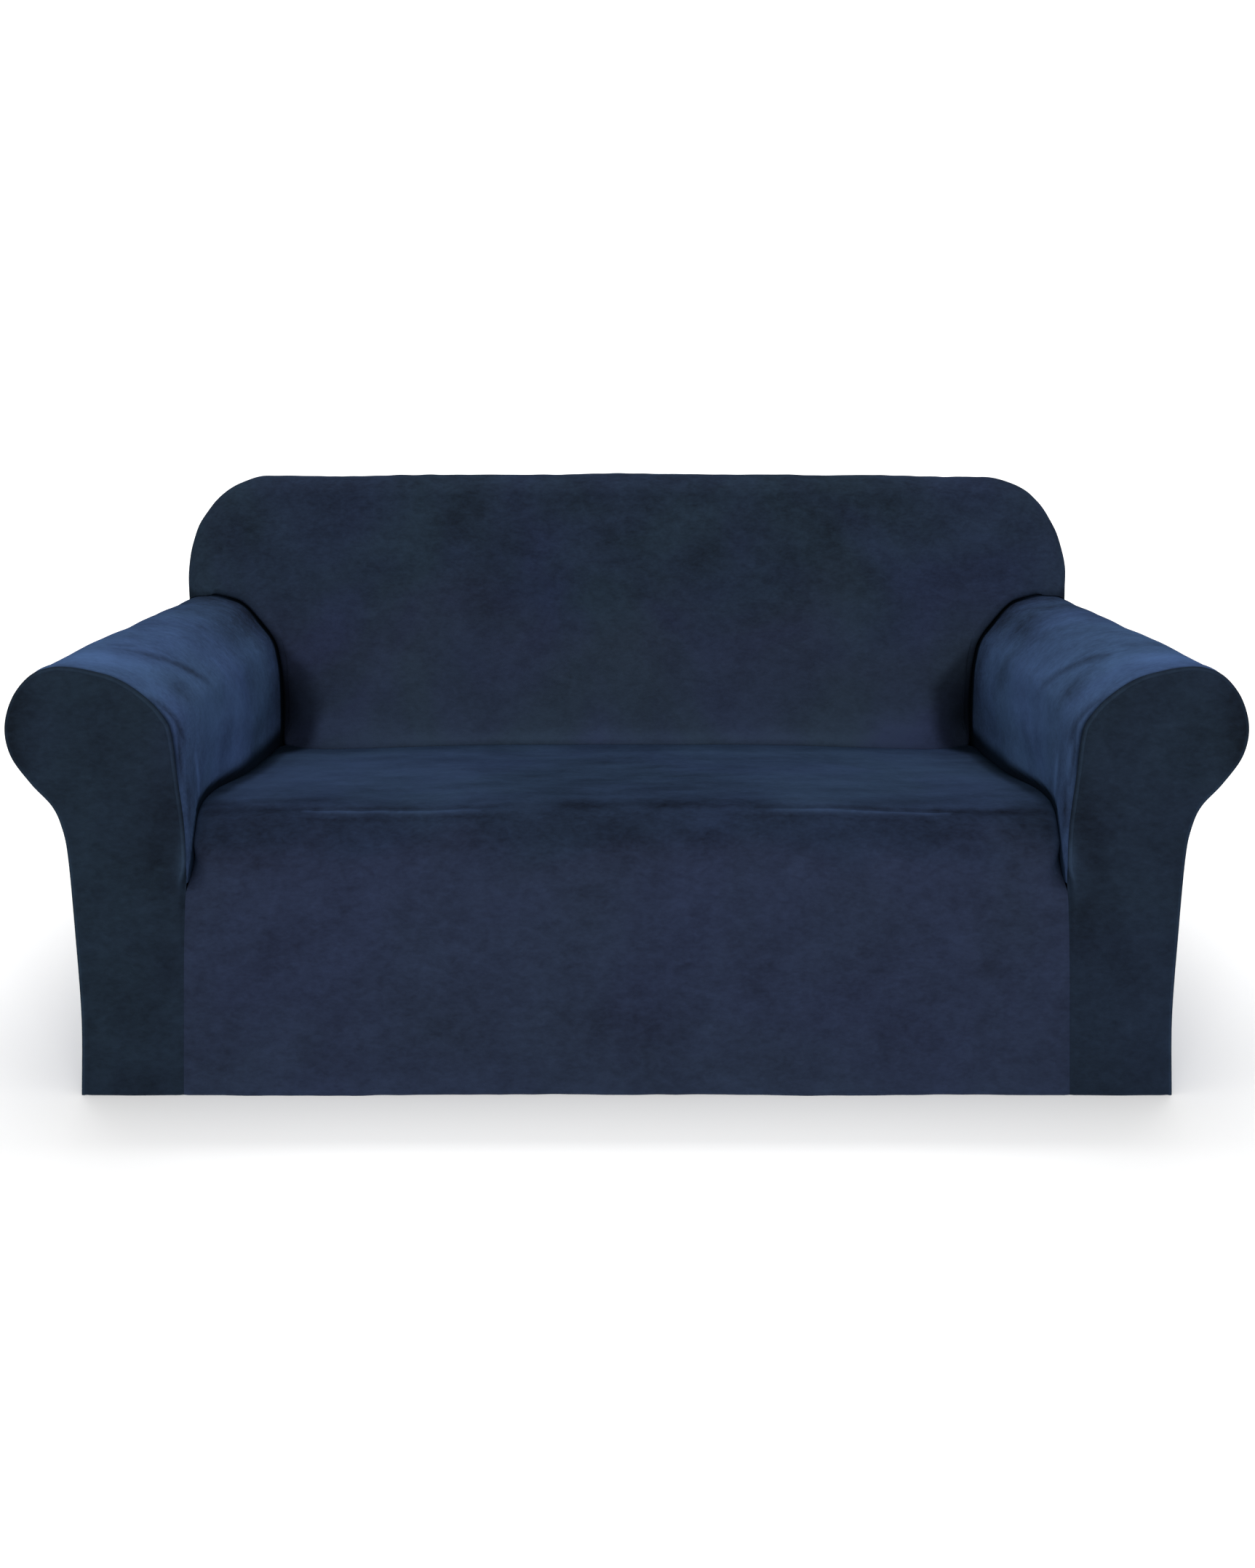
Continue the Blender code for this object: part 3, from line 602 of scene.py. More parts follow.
def mixed(tree, factor, first, second, blend="MIX"):
    made = node(tree, "ShaderNodeMix", data_type="RGBA", blend_type=blend)
    for socket, value in ((0, factor), (6, first), (7, second)):
        if isinstance(value, float):
            made.inputs[socket].default_value = value
        elif isinstance(value, tuple):
            made.inputs[socket].default_value = (*value, 1.0)
        else:
            tree.links.new(value, made.inputs[socket])
    return made.outputs[2]


def painted(tree, attribute):
    """A value that each point of a panel carries."""
    return node(tree, "ShaderNodeAttribute", attribute_name=attribute).outputs["Fac"]


def velvet(name):
    """Short dense pile: patches of nap brushed lighter and darker over each point's nap and painted light,
    the painted shade of creases, two hues, a fine bump and a sheen.
    """
    colour, sheen, tint, tinted = VELVET[name]
    material = bpy.data.materials.new("velvet_" + name)
    material.use_nodes = True
    tree = material.node_tree
    shader = tree.nodes["Principled BSDF"]
    nap_and_painted_light = maths(tree, "ADD", painted(tree, "nap_and_painted_light"), 0.5)
    for size, share, stretch in PATCHES:
        patch = maths(tree, "SUBTRACT", noise(tree, size, stretch), 0.5)
        nap_and_painted_light = maths(tree, "ADD", nap_and_painted_light, maths(tree, "MULTIPLY", patch, share * NOISE_GAIN))
    dark = tuple(share * channel for share, channel in zip(DARK_NAP_AND_PAINTED_SHADE, colour))
    light = tuple(share * channel for share, channel in zip(LIGHT_NAP_AND_PAINTED_LIGHT, colour))
    pile = mixed(tree, nap_and_painted_light, dark, light)
    steep = maths(tree, "MULTIPLY", maths(tree, "SUBTRACT", noise(tree, HUE_SIZE), 0.5), NOISE_GAIN)
    hue = mixed(tree, maths(tree, "ADD", steep, 0.5), HUE_TEAL, HUE_PLUM)
    pile = mixed(tree, tinted, pile, hue, "MULTIPLY")
    pile = mixed(tree, painted(tree, "blue"), pile, BLUE, "MULTIPLY")
    # painted shade: each point's shade value darkens the colour towards the crease colour
    tree.links.new(mixed(tree, painted(tree, "shade"), pile, PAINTED_SHADE), shader.inputs["Base Color"])
    fine = maths(tree, "MULTIPLY", noise(tree, PILE_PER_METRE, detail=2.0), PILE_DEPTH)
    clumps = maths(tree, "MULTIPLY", noise(tree, CLUMPS_PER_METRE), CLUMP_DEPTH)
    bump = node(tree, "ShaderNodeBump", Strength=BUMP_STRENGTH, Distance=1.0)
    tree.links.new(maths(tree, "ADD", fine, clumps), bump.inputs["Height"])
    tree.links.new(bump.outputs["Normal"], shader.inputs["Normal"])
    shader.inputs["Roughness"].default_value = PILE_ROUGHNESS
    shader.inputs["Specular IOR Level"].default_value = 0.0
    shader.inputs["Sheen Weight"].default_value = sheen
    shader.inputs["Sheen Roughness"].default_value = SHEEN_ROUGHNESS
    shader.inputs["Sheen Tint"].default_value = (*tint, 1.0)
    return material


MATERIALS = {name: velvet(name) for name in VELVET}


# --- Panels ---
WHOLE = (-2.0, -1.0)  # a span for the tables below that takes in a whole panel
SHARP_DEGREES = 62.0  # edges that turn by more than this are shaded sharp


def areas(table, along, across):
    """Sum of a table's even areas: size, and the spans over which they start in a panel's two lengths."""
    return sum(size * smooth(along, *first) * smooth(across, *second) for size, first, second in table)


def patches(table, along, across):
    """Sum of a table's soft oval patches: middle and half lengths in a panel's own two lengths, size."""
    total = 0.0
    for at, beside, length, width, size in table:
        total = total + size * np.exp(-(((along - at) / length) ** 2) - ((across - beside) / width) ** 2)
    return total


def lines(table, along, across):
    """Sum of a table's soft lines: both ends in a panel's own two lengths, half width, size midway."""
    total = 0.0
    for *ends, width, size in table:
        start, end = np.array(ends[:2]), np.array(ends[2:])
        way = end - start
        place = np.stack([along, across], axis=-1) - start
        share = np.clip((place @ way) / (way @ way), 0.0, 1.0)
        gap = np.linalg.norm(place - share[..., None] * way, axis=-1)
        fade = 0.35 + 0.65 * np.sin(np.pi * (0.15 + 0.7 * share))  # about 0.65 at both ends
        total = total + size * hump(gap, width) * fade
    return total


def read_off(table, value):
    """The second column of a table, read off at a value of its first."""
    first, second = np.array([row[:2] for row in table]).T
    return np.interp(value, first, second)


def grid_quads(grid, used=None):
    rows, columns = grid.shape[:2]
    i, j = np.meshgrid(np.arange(rows - 1), np.arange(columns - 1), indexing="ij")
    first = i * columns + j
    quads = np.stack([first, first + columns, first + columns + 1, first + 1], axis=-1)
    return (quads if used is None else quads[used]).reshape(-1, 4)


def point_normals(points, faces):
    normals = np.zeros_like(points)
    for size in (3, 4):
        some = np.array([f for f in faces if len(f) == size], int).reshape(-1, size)
        a, b, c = (points[some[:, k]] for k in (0, 1, 2))
        d = points[some[:, -1]]
        cross = np.cross(c - a, d - b) if size == 4 else np.cross(b - a, c - a)
        for k in range(size):
            np.add.at(normals, some[:, k], cross)
    return normals / np.maximum(np.linalg.norm(normals, axis=1), 1e-12)[:, None]


def looks(nap_and_painted_light, shade, points, blue=0.0):
    """The three columns of a panel's look: how the nap lies with its painted light and shade, the painted
    shade of creases and hollows, and the share of BLUE.
    """
    parts = (nap_and_painted_light, shade, blue)
    return np.stack([np.broadcast_to(part, points.shape[:-1]).reshape(-1) for part in parts], axis=1)


def add_cloth(panel_name, points, faces, look, material, side=""):
    """A panel of the cloth's thickness behind an outside surface, in place of its plain solid."""
    name, node_name = panel_name + "_cloth" + side, panel_name + side
    wanted = sorted({int(v) for face in faces for v in face})
    place = {old: new for new, old in enumerate(wanted)}
    faces = [tuple(place[v] for v in face) for face in faces]
    points, look = points.reshape(-1, 3)[wanted], look[wanted]
    inner = points - CLOTH * point_normals(points, faces)
    for layer in (points, inner):
        layer[:, 2] = np.maximum(layer[:, 2], 0.0)
    count = len(points)
    edges = {(a, b) for face in faces for a, b in zip(face, face[1:] + face[:1])}
    sides = [(b, a, a + count, b + count) for a, b in sorted(edges) if (b, a) not in edges]
    inside = [tuple(v + count for v in face[::-1]) for face in faces]
    mesh = bpy.data.meshes.new(name)
    mesh.from_pydata(np.vstack([points, inner]).tolist(), [], faces + inside + sides)
    for column, attribute in enumerate(("nap_and_painted_light", "shade", "blue")):
        values = mesh.attributes.new(attribute, "FLOAT", "POINT")
        values.data.foreach_set("value", np.tile(look[:, column], 2).astype(np.float32))
    mesh.materials.append(MATERIALS[material])
    mesh.shade_smooth()
    mesh.set_sharp_from_angle(angle=math.radians(SHARP_DEGREES))
    panel = bpy.data.objects.new(name, mesh)
    bpy.context.scene.collection.objects.link(panel)
    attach(panel, "root")
    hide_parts(node_name)


def both_sides(name, points, faces, both):
    """The right panel and its mirror image, each with its own look."""
    add_cloth(name, points, faces, both[0], name, "_right")
    add_cloth(name, mirrored(points), [face[::-1] for face in faces], both[1], name, "_left")


# --- Arms ---
DEEP_CELL = CELL * 1.15  # spacing of the points from front to rear
LOW_CELL = CELL * 1.8  # and round the section below the roll
ARM_FOLDS = (
    # along the section and depth of both ends, half width, height
    (0.395, 0.14, 0.32, 0.152, 0.009, -0.0006),
    (0.32, 0.152, 0.25, 0.215, 0.01, -0.0008),
    (0.39, 0.108, 0.29, 0.12, 0.013, 0.0005),
    (0.29, 0.014, 0.205, 0.044, 0.008, -0.0016),
    (0.215, 0.03, 0.165, 0.024, 0.008, -0.0014),
    (0.2, 0.075, 0.1, 0.075, 0.014, 0.0015),
    (0.42, 0.026, 0.3, 0.03, 0.005, -0.0006),
    (0.44, 0.046, 0.31, 0.052, 0.006, -0.0006),
    (0.23, 0.3, 0.12, 0.21, 0.018, -0.001),
    (0.26, 0.52, 0.17, 0.48, 0.018, -0.001),
    (0.3, 0.56, 0.2, 0.57, 0.012, 0.0008),
)
ARM_LEVEL_AND_PAINTED_LIGHT = (
    # nap, spans along the section and in depth over which it starts: over a base level, painted light on the
    # roll's top towards the front, and painted shade towards the back and low at the front of the inner wall
    (0.12, WHOLE, WHOLE),
    (0.1, (0.22, 0.38), (0.4, 0.02)),
    (-0.08, (0.26, 0.36), WHOLE),
    (-0.18, (0.24, 0.34), (0.2, 0.55)),
    (-0.12, (0.34, 0.24), (0.44, 0.6)),
    (-0.12, (0.18, 0.09), (0.13, 0.06)),
)
ARM_PAINTED_FOLD_LIGHT = (
    # along the section and depth of both ends, half width, nap: painted shade along the dented folds, and
    # painted highlights on the roll's top and on the ridges of the inner wall
    (0.4, 0.155, 0.372, 0.17, 0.006, -0.16),
    (0.385, 0.14, 0.34, 0.15, 0.005, -0.12),
    (0.34, 0.15, 0.25, 0.22, 0.011, -0.34),
    (0.345, 0.185, 0.3, 0.205, 0.006, -0.1),
    (0.28, 0.016, 0.2, 0.046, 0.009, -0.34),
    (0.215, 0.026, 0.15, 0.02, 0.009, -0.34),
    (0.42, 0.06, 0.35, 0.09, 0.04, 0.26),
    (0.48, 0.1, 0.44, 0.3, 0.05, 0.14),
    (0.158, 0.105, 0.098, 0.118, 0.008, 0.34),
    (0.11, 0.085, 0.02, 0.045, 0.005, 0.26),
    (0.14, 0.042, 0.085, 0.026, 0.014, -0.24),
    (0.19, 0.3, 0.12, 0.26, 0.022, -0.16),
    (0.26, 0.44, 0.18, 0.43, 0.028, -0.14),
)
ARM_PATCHES = (
    # along the section and depth of the middle, half lengths along both, nap
    (0.29, 0.51, 0.035, 0.12, -0.22),
    (0.37, 0.41, 0.045, 0.07, 0.16),
    (0.175, 0.3, 0.045, 0.09, 0.22),
    (0.205, 0.19, 0.025, 0.035, 0.12),
    (0.268, 0.105, 0.024, 0.036, -0.26),
    (0.145, 0.075, 0.04, 0.025, -0.14),
    (0.1, 0.46, 0.025, 0.06, -0.08),
)
BACK_CREASE_REACH = (0.003, 0.005)  # how far from the back the arms' painted crease shade reaches, and the more where it's wide
SEAT_CREASE_REACH = (
    # depth, how far from the seat the arms' painted crease shade reaches there
    (0.0, 0.003),
    (0.12, 0.004),
    (0.22, 0.01),
    (0.26, 0.013),
    (0.31, 0.018),
    (0.36, 0.025),
    (0.42, 0.032),
    (0.55, 0.028),
)
SEAM_PAINTED_SHADE = (
    # painted shade of the sunk front seam: dark, spans along the section and in depth
    (0.45, WHOLE, WHOLE),
    (0.35, (0.32, 0.22), WHOLE),
    (-0.65, (0.19, 0.11), WHOLE),
)


def crease_width(x):
    """1 where the crease between arm and back is wide, at the inner wall, and 0 on top of the roll."""
    return smooth(np.abs(x), 0.740, 0.665)


def painted_crease_shade(x):
    """How strong the painted shade of that crease is: less on the outer half of the roll."""
    return 1 - 0.6 * smooth(np.abs(x), 0.765, 0.805)


def arm_surface():
    """Points of the right arm's outside, the quads in use, and each point's length round it and depth."""
    rows_all, columns_all = spacing(ARM_GRID, 0), spacing(ARM_GRID, 1)
    underside = rows_all[np.nonzero(ARM_GRID[:, 0, 2] > ROLL_BOTTOM_OUTER)[0][-1]]
    landing, end = rows_all[LANDING], columns_all[ARM_END_COLUMN]
    upper = stepped(0.0, underside, CELL, (landing,))
    rows = np.concatenate([upper, stepped(underside, rows_all[-1], LOW_CELL)[1:]])
    columns = with_seams(stepped(SEAM_IN, columns_all[-1] - SEAM_IN, DEEP_CELL, (end,)))
    grid = refined(ARM_GRID, rows, columns)
    used = np.ones((len(rows) - 1, len(columns) - 1), bool)
    used[: np.argmin(np.abs(rows - landing)), np.argmin(np.abs(columns - end)) :] = False
    depth = grid[:, :, 1] - Y_FRONT
    along = np.broadcast_to(rows[:, None], depth.shape)
    seams = hump(depth - SEAM_IN, SEAM_SOFT) + hump(DEPTH - SEAM_IN - depth, SEAM_SOFT)
    puff = 0.0009 * hump(depth - 0.024, 0.011)
    free = smooth(along, 0.02, 0.09) * smooth(depth, 0.01, 0.05)
    uneven = free * (waves(grid, 0.0006, 0.13, 5) + waves(grid, 0.0001, 0.035, 6))
    height = puff - SEAM_SINK * seams + lines(ARM_FOLDS, along, depth) + uneven
    return grid + vertex_normals(grid) * height[:, :, None], used, along, depth


def add_arms():
    grid, used, along, depth = arm_surface()
    x, z = grid[:, :, 0], grid[:, :, 2]
    to_back = face_depth(x, z) - depth
    inner_wall = (along < 0.26) & (depth > 0.018)
    to_seat = np.where(inner_wall, z - read_off(SEAT_SECTION, depth), 1.0)  # 1 m is out of reach
    under_back = along < spacing(ARM_GRID, 0)[LANDING] - CELL / 2
    # band: painted light on the inner wall just above the seat
    band = hump(to_seat - 0.030, 0.026) * smooth(depth, 0.10, 0.20) * smooth(depth, 0.42, 0.30)
    nap_and_painted_light = areas(ARM_LEVEL_AND_PAINTED_LIGHT, along, depth) + lines(ARM_PAINTED_FOLD_LIGHT, along, depth)
    nap_and_painted_light = nap_and_painted_light + patches(ARM_PATCHES, along, depth)
    # painted shade on the roll where it runs in under the back
    nap_and_painted_light = nap_and_painted_light + 0.20 * band - 0.16 * under_back * hump(to_back, 0.060)
    # painted shade in the creases beside the back and the seat, and along the sunk front seam
    reach = BACK_CREASE_REACH[0] + BACK_CREASE_REACH[1] * crease_width(x)
    back_crease = under_back * painted_crease_shade(x) * smooth(to_back / reach, 1.0, 0.0)
    darkest = 0.55 + 0.39 * smooth(depth, 0.05, 0.10)
    seat_crease = darkest * smooth(to_seat / read_off(SEAT_CREASE_REACH, depth), 1.0, 0.05)
    seam_width = 0.0022 + 0.0028 * smooth(along, 0.32, 0.22)
    seam_shade = areas(SEAM_PAINTED_SHADE, along, depth) * hump(depth - SEAM_IN, seam_width)
    shade = np.maximum.reduce([back_crease, seat_crease, seam_shade])
    side_looks = [looks(nap_and_painted_light + waves(grid, 0.03, 0.07, seed), shade, grid) for seed in (31, 32)]
    both_sides("arm", grid, grid_quads(grid, used), side_looks)


# --- End panels: the arm fronts and the rear panel ---
FLAT_PROFILE = ((0.0088, 0.0008), (0.0115, 0.0003), (0.0150, 0.0), (0.0190, 0.0))  # inset and depth
FLAT_EDGE_IN = 0.0006  # how much further in an edge lies that isn't raised
INSIDE_ONLY = 1  # the triangulation's own number for faces inside the border
SAME_POINT = 1e-7


def edge_profile():
    """Inset from the outline and depth behind the panel's plane, from the seam to the flat."""
    profile = [(SEAM_SINK, SEAM_IN), (SEAM_SINK / 2, SEAM_IN - 0.0022)]
    for degrees in RIDGE_DEGREES:
        angle = math.radians(degrees)
        profile.append((RIDGE_IN - RIDGE * math.cos(angle), RIDGE_BACK - RIDGE * math.sin(angle)))
    return profile + list(FLAT_PROFILE)


def lattice_inside(border, step):
    """Even points, in staggered rows, inside a closed border and more than half a step from it."""
    low, high = border.min(axis=0), border.max(axis=0)
    xs = np.arange(low[0], high[0], step)
    zs = np.arange(low[1] + step / 2, high[1], step * 0.87)  # the height of even triangles
    places = np.array([(x + (n % 2) * step / 2, z) for n, z in enumerate(zs) for x in xs])
    inside = np.zeros(len(places), bool)
    closest = np.full(len(places), np.inf)
    for a, b in zip(border, np.roll(border, -1, axis=0)):
        crosses = (a[1] > places[:, 1]) != (b[1] > places[:, 1])
        if a[1] != b[1]:
            at = a[0] + (places[:, 1] - a[1]) / (b[1] - a[1]) * (b[0] - a[0])
            inside ^= crosses & (places[:, 0] < at)
        closest = np.minimum(closest, np.hypot(*(places - a).T))
    return places[inside & (closest > step * 0.6)]


def end_panel(outline, wrapped, raised, beside, step, pillow, seed):
    """A flat panel that turns round its edge to a sunk seam: points as x, depth behind its plane and z.

    outline runs with its outside on the left. wrapped is 1 where the edge turns round, and 0 where it is
    sewn flat to a neighbour, whose depth is beside. raised is how much of the ridge the edge has.
    """
    inward = mitres(outline)
    profile = edge_profile()
    flat_inset = profile[-1][0]
    rings = []
    for (inset, depth), level in zip(profile, np.linspace(0.0, flat_inset, len(profile))):
        lowered = depth + (1 - raised) * (RIDGE - RIDGE_BACK) * hump(inset - RIDGE_IN, RIDGE)
        inset_here = wrapped * (inset + (1 - raised) * FLAT_EDGE_IN) + (1 - wrapped) * level
        sunk = (beside + FLAT_SEAM_SINK) * hump(level, SEAM_SOFT)
        place = outline + inward * inset_here[:, None]
        rings.append(np.stack([place[:, 0], wrapped * lowered + (1 - wrapped) * sunk, place[:, 1]], axis=1))
    strip = np.array(rings)
    strip[:, (0, -1), 2] = 0.0
    ring = strip[-1]
    bottom = np.array([(x, 0.0, 0.0) for x in stepped(ring[0, 0], ring[-1, 0], step)[-2:0:-1]])
    border = np.vstack([ring, bottom])[:, [0, 2]]
    lattice = lattice_inside(border, step)
    places = [Vector(place) for place in np.vstack([border, lattice])]
    loop = [(n, (n + 1) % len(border)) for n in range(len(border))]
    triangles, origins = delaunay_2d_cdt(places, loop, [], INSIDE_ONLY, SAME_POINT)[2:4]
    first = strip[:-1].size // 3
    faces = [tuple(first + origins[v][0] for v in face) for face in triangles]
    points = np.vstack([strip.reshape(-1, 3), bottom, [(x, 0.0, z) for x, z in lattice]])
    edge = np.minimum.reduce([np.hypot(points[:, 0] - x, points[:, 2] - z) for x, z in outline[::3]])
    rise = pillow * smooth(edge, 0.012, 0.11) + smooth(edge, 0.02, 0.08) * waves(points, 0.0006, 0.12, seed)
    points[first:, 1] -= rise[first:]
    insets = np.full(len(points), flat_inset)
    insets[: strip.size // 3] = np.repeat([inset for inset, _ in profile], len(outline))
    return points, [*grid_quads(strip), *faces], insets


FRONT_PATCHES = (
    # x and z of the middle, half lengths along both, nap
    (0.668, 0.4, 0.04, 0.065, -0.16),
    (0.64, 0.335, 0.009, 0.035, 0.45),
    (0.668, 0.27, 0.032, 0.09, -0.12),
)


def add_arm_fronts():
    heights = stepped(0.0, SEAT_SEAM_Z, CELL)[:-1]
    straight = np.stack([np.full(len(heights), SKIRT_HALF), heights], axis=1)
    curve = curve_through(ARM_SECTION)[:, :2]
    curve = at_lengths(curve, stepped(0.0, lengths_along(curve)[-1], CELL * 0.9))
    outline = np.vstack([straight, curve])
    on_curve = np.arange(len(outline)) >= len(straight)
    wrapped = on_curve * smooth(lengths_along(outline), 0.292, 0.335)
    raised = smooth(outline[:, 0], 0.87, 0.80)
    raised[outline[:, 0].argmax() :] = 0.0
    beside = read_off([(z, depth) for depth, z, *_ in SEAT_SECTION[:7]], outline[:, 1])
    shape = (outline, wrapped, raised, beside)
    points, faces, insets = end_panel(*shape, step=0.0065, pillow=0.0012, seed=21)
    points[:, 1] += Y_FRONT
    x, y, z = points.T
    off_straight = np.maximum(smooth(x, 0.67, 0.70), smooth(z, 0.29, 0.34))
    # painted highlight along the raised ridge of the folded edge
    ridge_highlight = off_straight * hump(insets - RIDGE_IN, 0.0020) * (y < Y_FRONT + 0.001)
    # painted shade where the panel turns back into the sunk seam
    seam_shade = off_straight * smooth(y - Y_FRONT, 0.0026, 0.0056)
    nap_and_painted_light = 0.20 * ridge_highlight - 0.24 * smooth(x, 0.84, 0.90) + patches(FRONT_PATCHES, x, z)
    side_looks = [looks(nap_and_painted_light + waves(points, 0.02, 0.09, seed), 0.8 * seam_shade, points) for seed in (41, 42)]
    both_sides("arm_front", points, faces, side_looks)


REAR_EDGE_STEP = 0.010  # spacing of the points round the rear panel


def add_outside_back():
    arm = arm_outline(DEPTH)[LANDING:][::-1]
    arm = at_lengths(arm, stepped(0.0, lengths_along(arm)[-1], REAR_EDGE_STEP))
    rims = BACK_GRID[:, -1, [0, 2]]
    along = lengths_along(rims)
    rims = at_lengths(rims, stepped(0.0, along[-1], REAR_EDGE_STEP, (along[len(along) // 2],)))
    right = np.vstack([arm[:-1], rims[: len(rims) // 2 + 1]])
    left = right[:-1] * np.array([-1.0, 1.0])
    outline = np.vstack([left, right[::-1]])
    whole = np.ones(len(outline))
    shape = (outline, whole, whole * 0.4, whole * 0.0)
    points, faces, _ = end_panel(*shape, step=0.016, pillow=0.0, seed=22)
    points[:, 1] = DEPTH / 2 - points[:, 1]
    faces = [face[::-1] for face in faces]
    look = looks(waves(points, 0.04, 0.12, 43), 0.0, points, blue=0.5)
    add_cloth("outside_back", points, faces, look, "back")


# --- Inside back ---
HOLLOW_SHADE_EDGE = 0.5875  # x where the painted shade of the hollow beside the arm starts, at z 0.402
HOLLOW_PAINTED_SHADE = (
    # painted shade of the hollow: dark, spans outwards from the rim and in z
    (0.56, (-0.02, 0.017), WHOLE),
    (0.3, (0.02, 0.075), WHOLE),
)
BACK_TONE_AREAS = (
    # nap, spans in x to either side and in z: darker towards the top and lighter towards the bottom
    (0.17, WHOLE, WHOLE),
    (-0.27, WHOLE, (0.36, 0.78)),
    (0.1, WHOLE, (0.43, 0.35)),
    (0.04, (0.38, 0.62), (0.6, 0.68)),
    (-0.03, (0.4, 0.25), (0.7, 0.62)),
)
BACK_PATCHES = ((0.54, 0.36, 0.08, 0.045, 0.20),)  # x and z of the middle, half lengths along both, nap
BACK_LINES = (
    # x and z of both ends, half width, nap
    (0.2, 0.56, 0.34, 0.61, 0.03, -0.06),
    (0.44, 0.72, 0.6, 0.7, 0.03, 0.06),
    (-0.16, 0.64, -0.3, 0.59, 0.03, -0.06),
    (-0.42, 0.72, -0.58, 0.71, 0.03, 0.06),
)


def add_inside_back():
    across, tucks = spacing(BACK_GRID, 0), spacing(BACK_GRID, 1)
    places = with_seams(stepped(0.012, tucks[-1] - SEAM_IN, CELL), first=False)
    columns = stepped(0.0, across[-1], CELL, (across[len(across) // 2],))
    behind = BACK_GRID.copy()
    behind[:, :, 1] -= face_depth(BACK_GRID[:, :, 0], BACK_GRID[:, :, 2])
    grid = refined(behind, columns, places, BACK_GRID)
    grid[:, :, 1] += face_depth(grid[:, :, 0], grid[:, :, 2])
    to_rear = Y_FRONT + DEPTH - grid[:, :, 1]
    free = smooth(places, 0.06, 0.16) * smooth(to_rear, 0.02, 0.06)
    uneven = free * (waves(grid, 0.0011, 0.22, 11) + waves(grid, 0.0004, 0.05, 12))
    height = uneven - SEAM_SINK * hump(to_rear - SEAM_IN, SEAM_SOFT)
    grid = grid - vertex_normals(grid) * height[:, :, None]
    x, side, z = grid[:, :, 0], np.abs(grid[:, :, 0]), grid[:, :, 2]
    from_tuck = np.broadcast_to(places[None, :], x.shape)
    highlight_line = tucks[5] + 0.006  # where a painted highlight lies along the bend; the crease bends from tucks[2] to tucks[5]
    nap_and_painted_light = waves(grid, 0.02, 0.10, 13) + areas(BACK_TONE_AREAS, side, z) + lines(BACK_LINES, x, z)
    nap_and_painted_light = nap_and_painted_light + patches(BACK_PATCHES, side, z)
    # painted highlight along the bend into the crease
    nap_and_painted_light = nap_and_painted_light + 0.24 * hump(from_tuck - highlight_line, 0.008) * smooth(side, 0.58, 0.40)
    # painted shade of the crease beside the arm, of the hollow beside it, and where the back lands on the
    # roll
    wide = crease_width(x) * smooth(z, 0.52, 0.44)
    dark_end = tucks[2] + (tucks[3] - tucks[2]) * wide
    shade_end = tucks[4] + (highlight_line - tucks[4]) * wide
    dark = 0.25 + 0.75 * smooth(side, 0.60, 0.645)
    crease = dark * painted_crease_shade(x) * smooth(from_tuck, shade_end, dark_end)
    rim = HOLLOW_SHADE_EDGE + 0.0135 * ((z - 0.402) / 0.050) ** 2 + waves(grid, 0.003, 0.06, 14)
    from_landing = np.minimum(columns, columns[-1] - columns)[:, None]
    shade = np.maximum(areas(HOLLOW_PAINTED_SHADE, side - rim, z), crease)
    shade = np.maximum(shade, 0.4 * smooth(from_landing, 0.010, 0.0))
    blue = 0.9 * smooth(z + waves(grid, 0.025, 0.20, 20), 0.50, 0.66)
    look = looks(nap_and_painted_light - 0.02 * blue, shade, grid, blue)
    faces = grid_quads(grid)[:, ::-1]
    add_cloth("inside_back", grid, faces, look, "back")


# --- Seat and skirt ---
SEAT_FOLDS = (
    # x and distance up from the hem of both ends, half width, height
    (0.5, 0.413, 0.34, 0.4137, 0.0034, 0.0014),
    (0.34, 0.4137, 0.19, 0.4115, 0.0034, 0.0016),
    (0.62, 0.419, 0.47, 0.4225, 0.008, -0.0012),
    (0.47, 0.418, 0.18, 0.427, 0.005, -0.0014),
)
SEAT_PAINTED_FOLD_LIGHT = (
    # x and distance up from the hem of both ends, half width, nap: a painted highlight along the front
    # fold's ridge, and painted shade along the dented folds and under the fold
    (0.485, 0.4132, 0.34, 0.4137, 0.003, 0.42),
    (0.34, 0.4137, 0.225, 0.4115, 0.003, 0.42),
    (0.225, 0.4115, 0.12, 0.411, 0.003, 0.08),
    (0.64, 0.419, 0.47, 0.423, 0.011, -0.3),
    (0.47, 0.4235, 0.2, 0.427, 0.006, -0.24),
    (0.2, 0.429, 0.0, 0.432, 0.01, -0.12),
    (0.47, 0.396, 0.18, 0.403, 0.005, -0.12),
)
SEAT_PATCHES = (
    # x and distance up from the hem of the middle, half lengths along both, nap
    (0.3, 0.62, 0.1, 0.2, 0.17),
    (0.5, 0.7, 0.1, 0.14, 0.26),
    (0.6, 0.59, 0.05, 0.09, 0.24),
    (0.46, 0.458, 0.11, 0.022, -0.18),
    (0.62, 0.447, 0.035, 0.02, -0.12),
    (0.28, 0.445, 0.06, 0.028, 0.08),
    (0.15, 0.56, 0.06, 0.08, -0.08),
    (0.08, 0.45, 0.13, 0.026, -0.12),
    (0.04, 0.66, 0.06, 0.1, 0.06),
    (0.0, 0.105, 0.08, 0.035, -0.11),
)
SEAT_PAINTED_LIGHT_BANDS = (
    # distance up from the hem of the middle, half width, nap: painted light along the hem, painted shade
    # under the front fold and where the seat's front edge rounds over
    (0.0, 0.03, 0.1),
    (0.378, 0.036, -0.15),
    (0.435, 0.016, -0.08),
)
ON_SEAT = (0.405, 0.430)  # distances up from the hem over which the cloth turns onto the seat
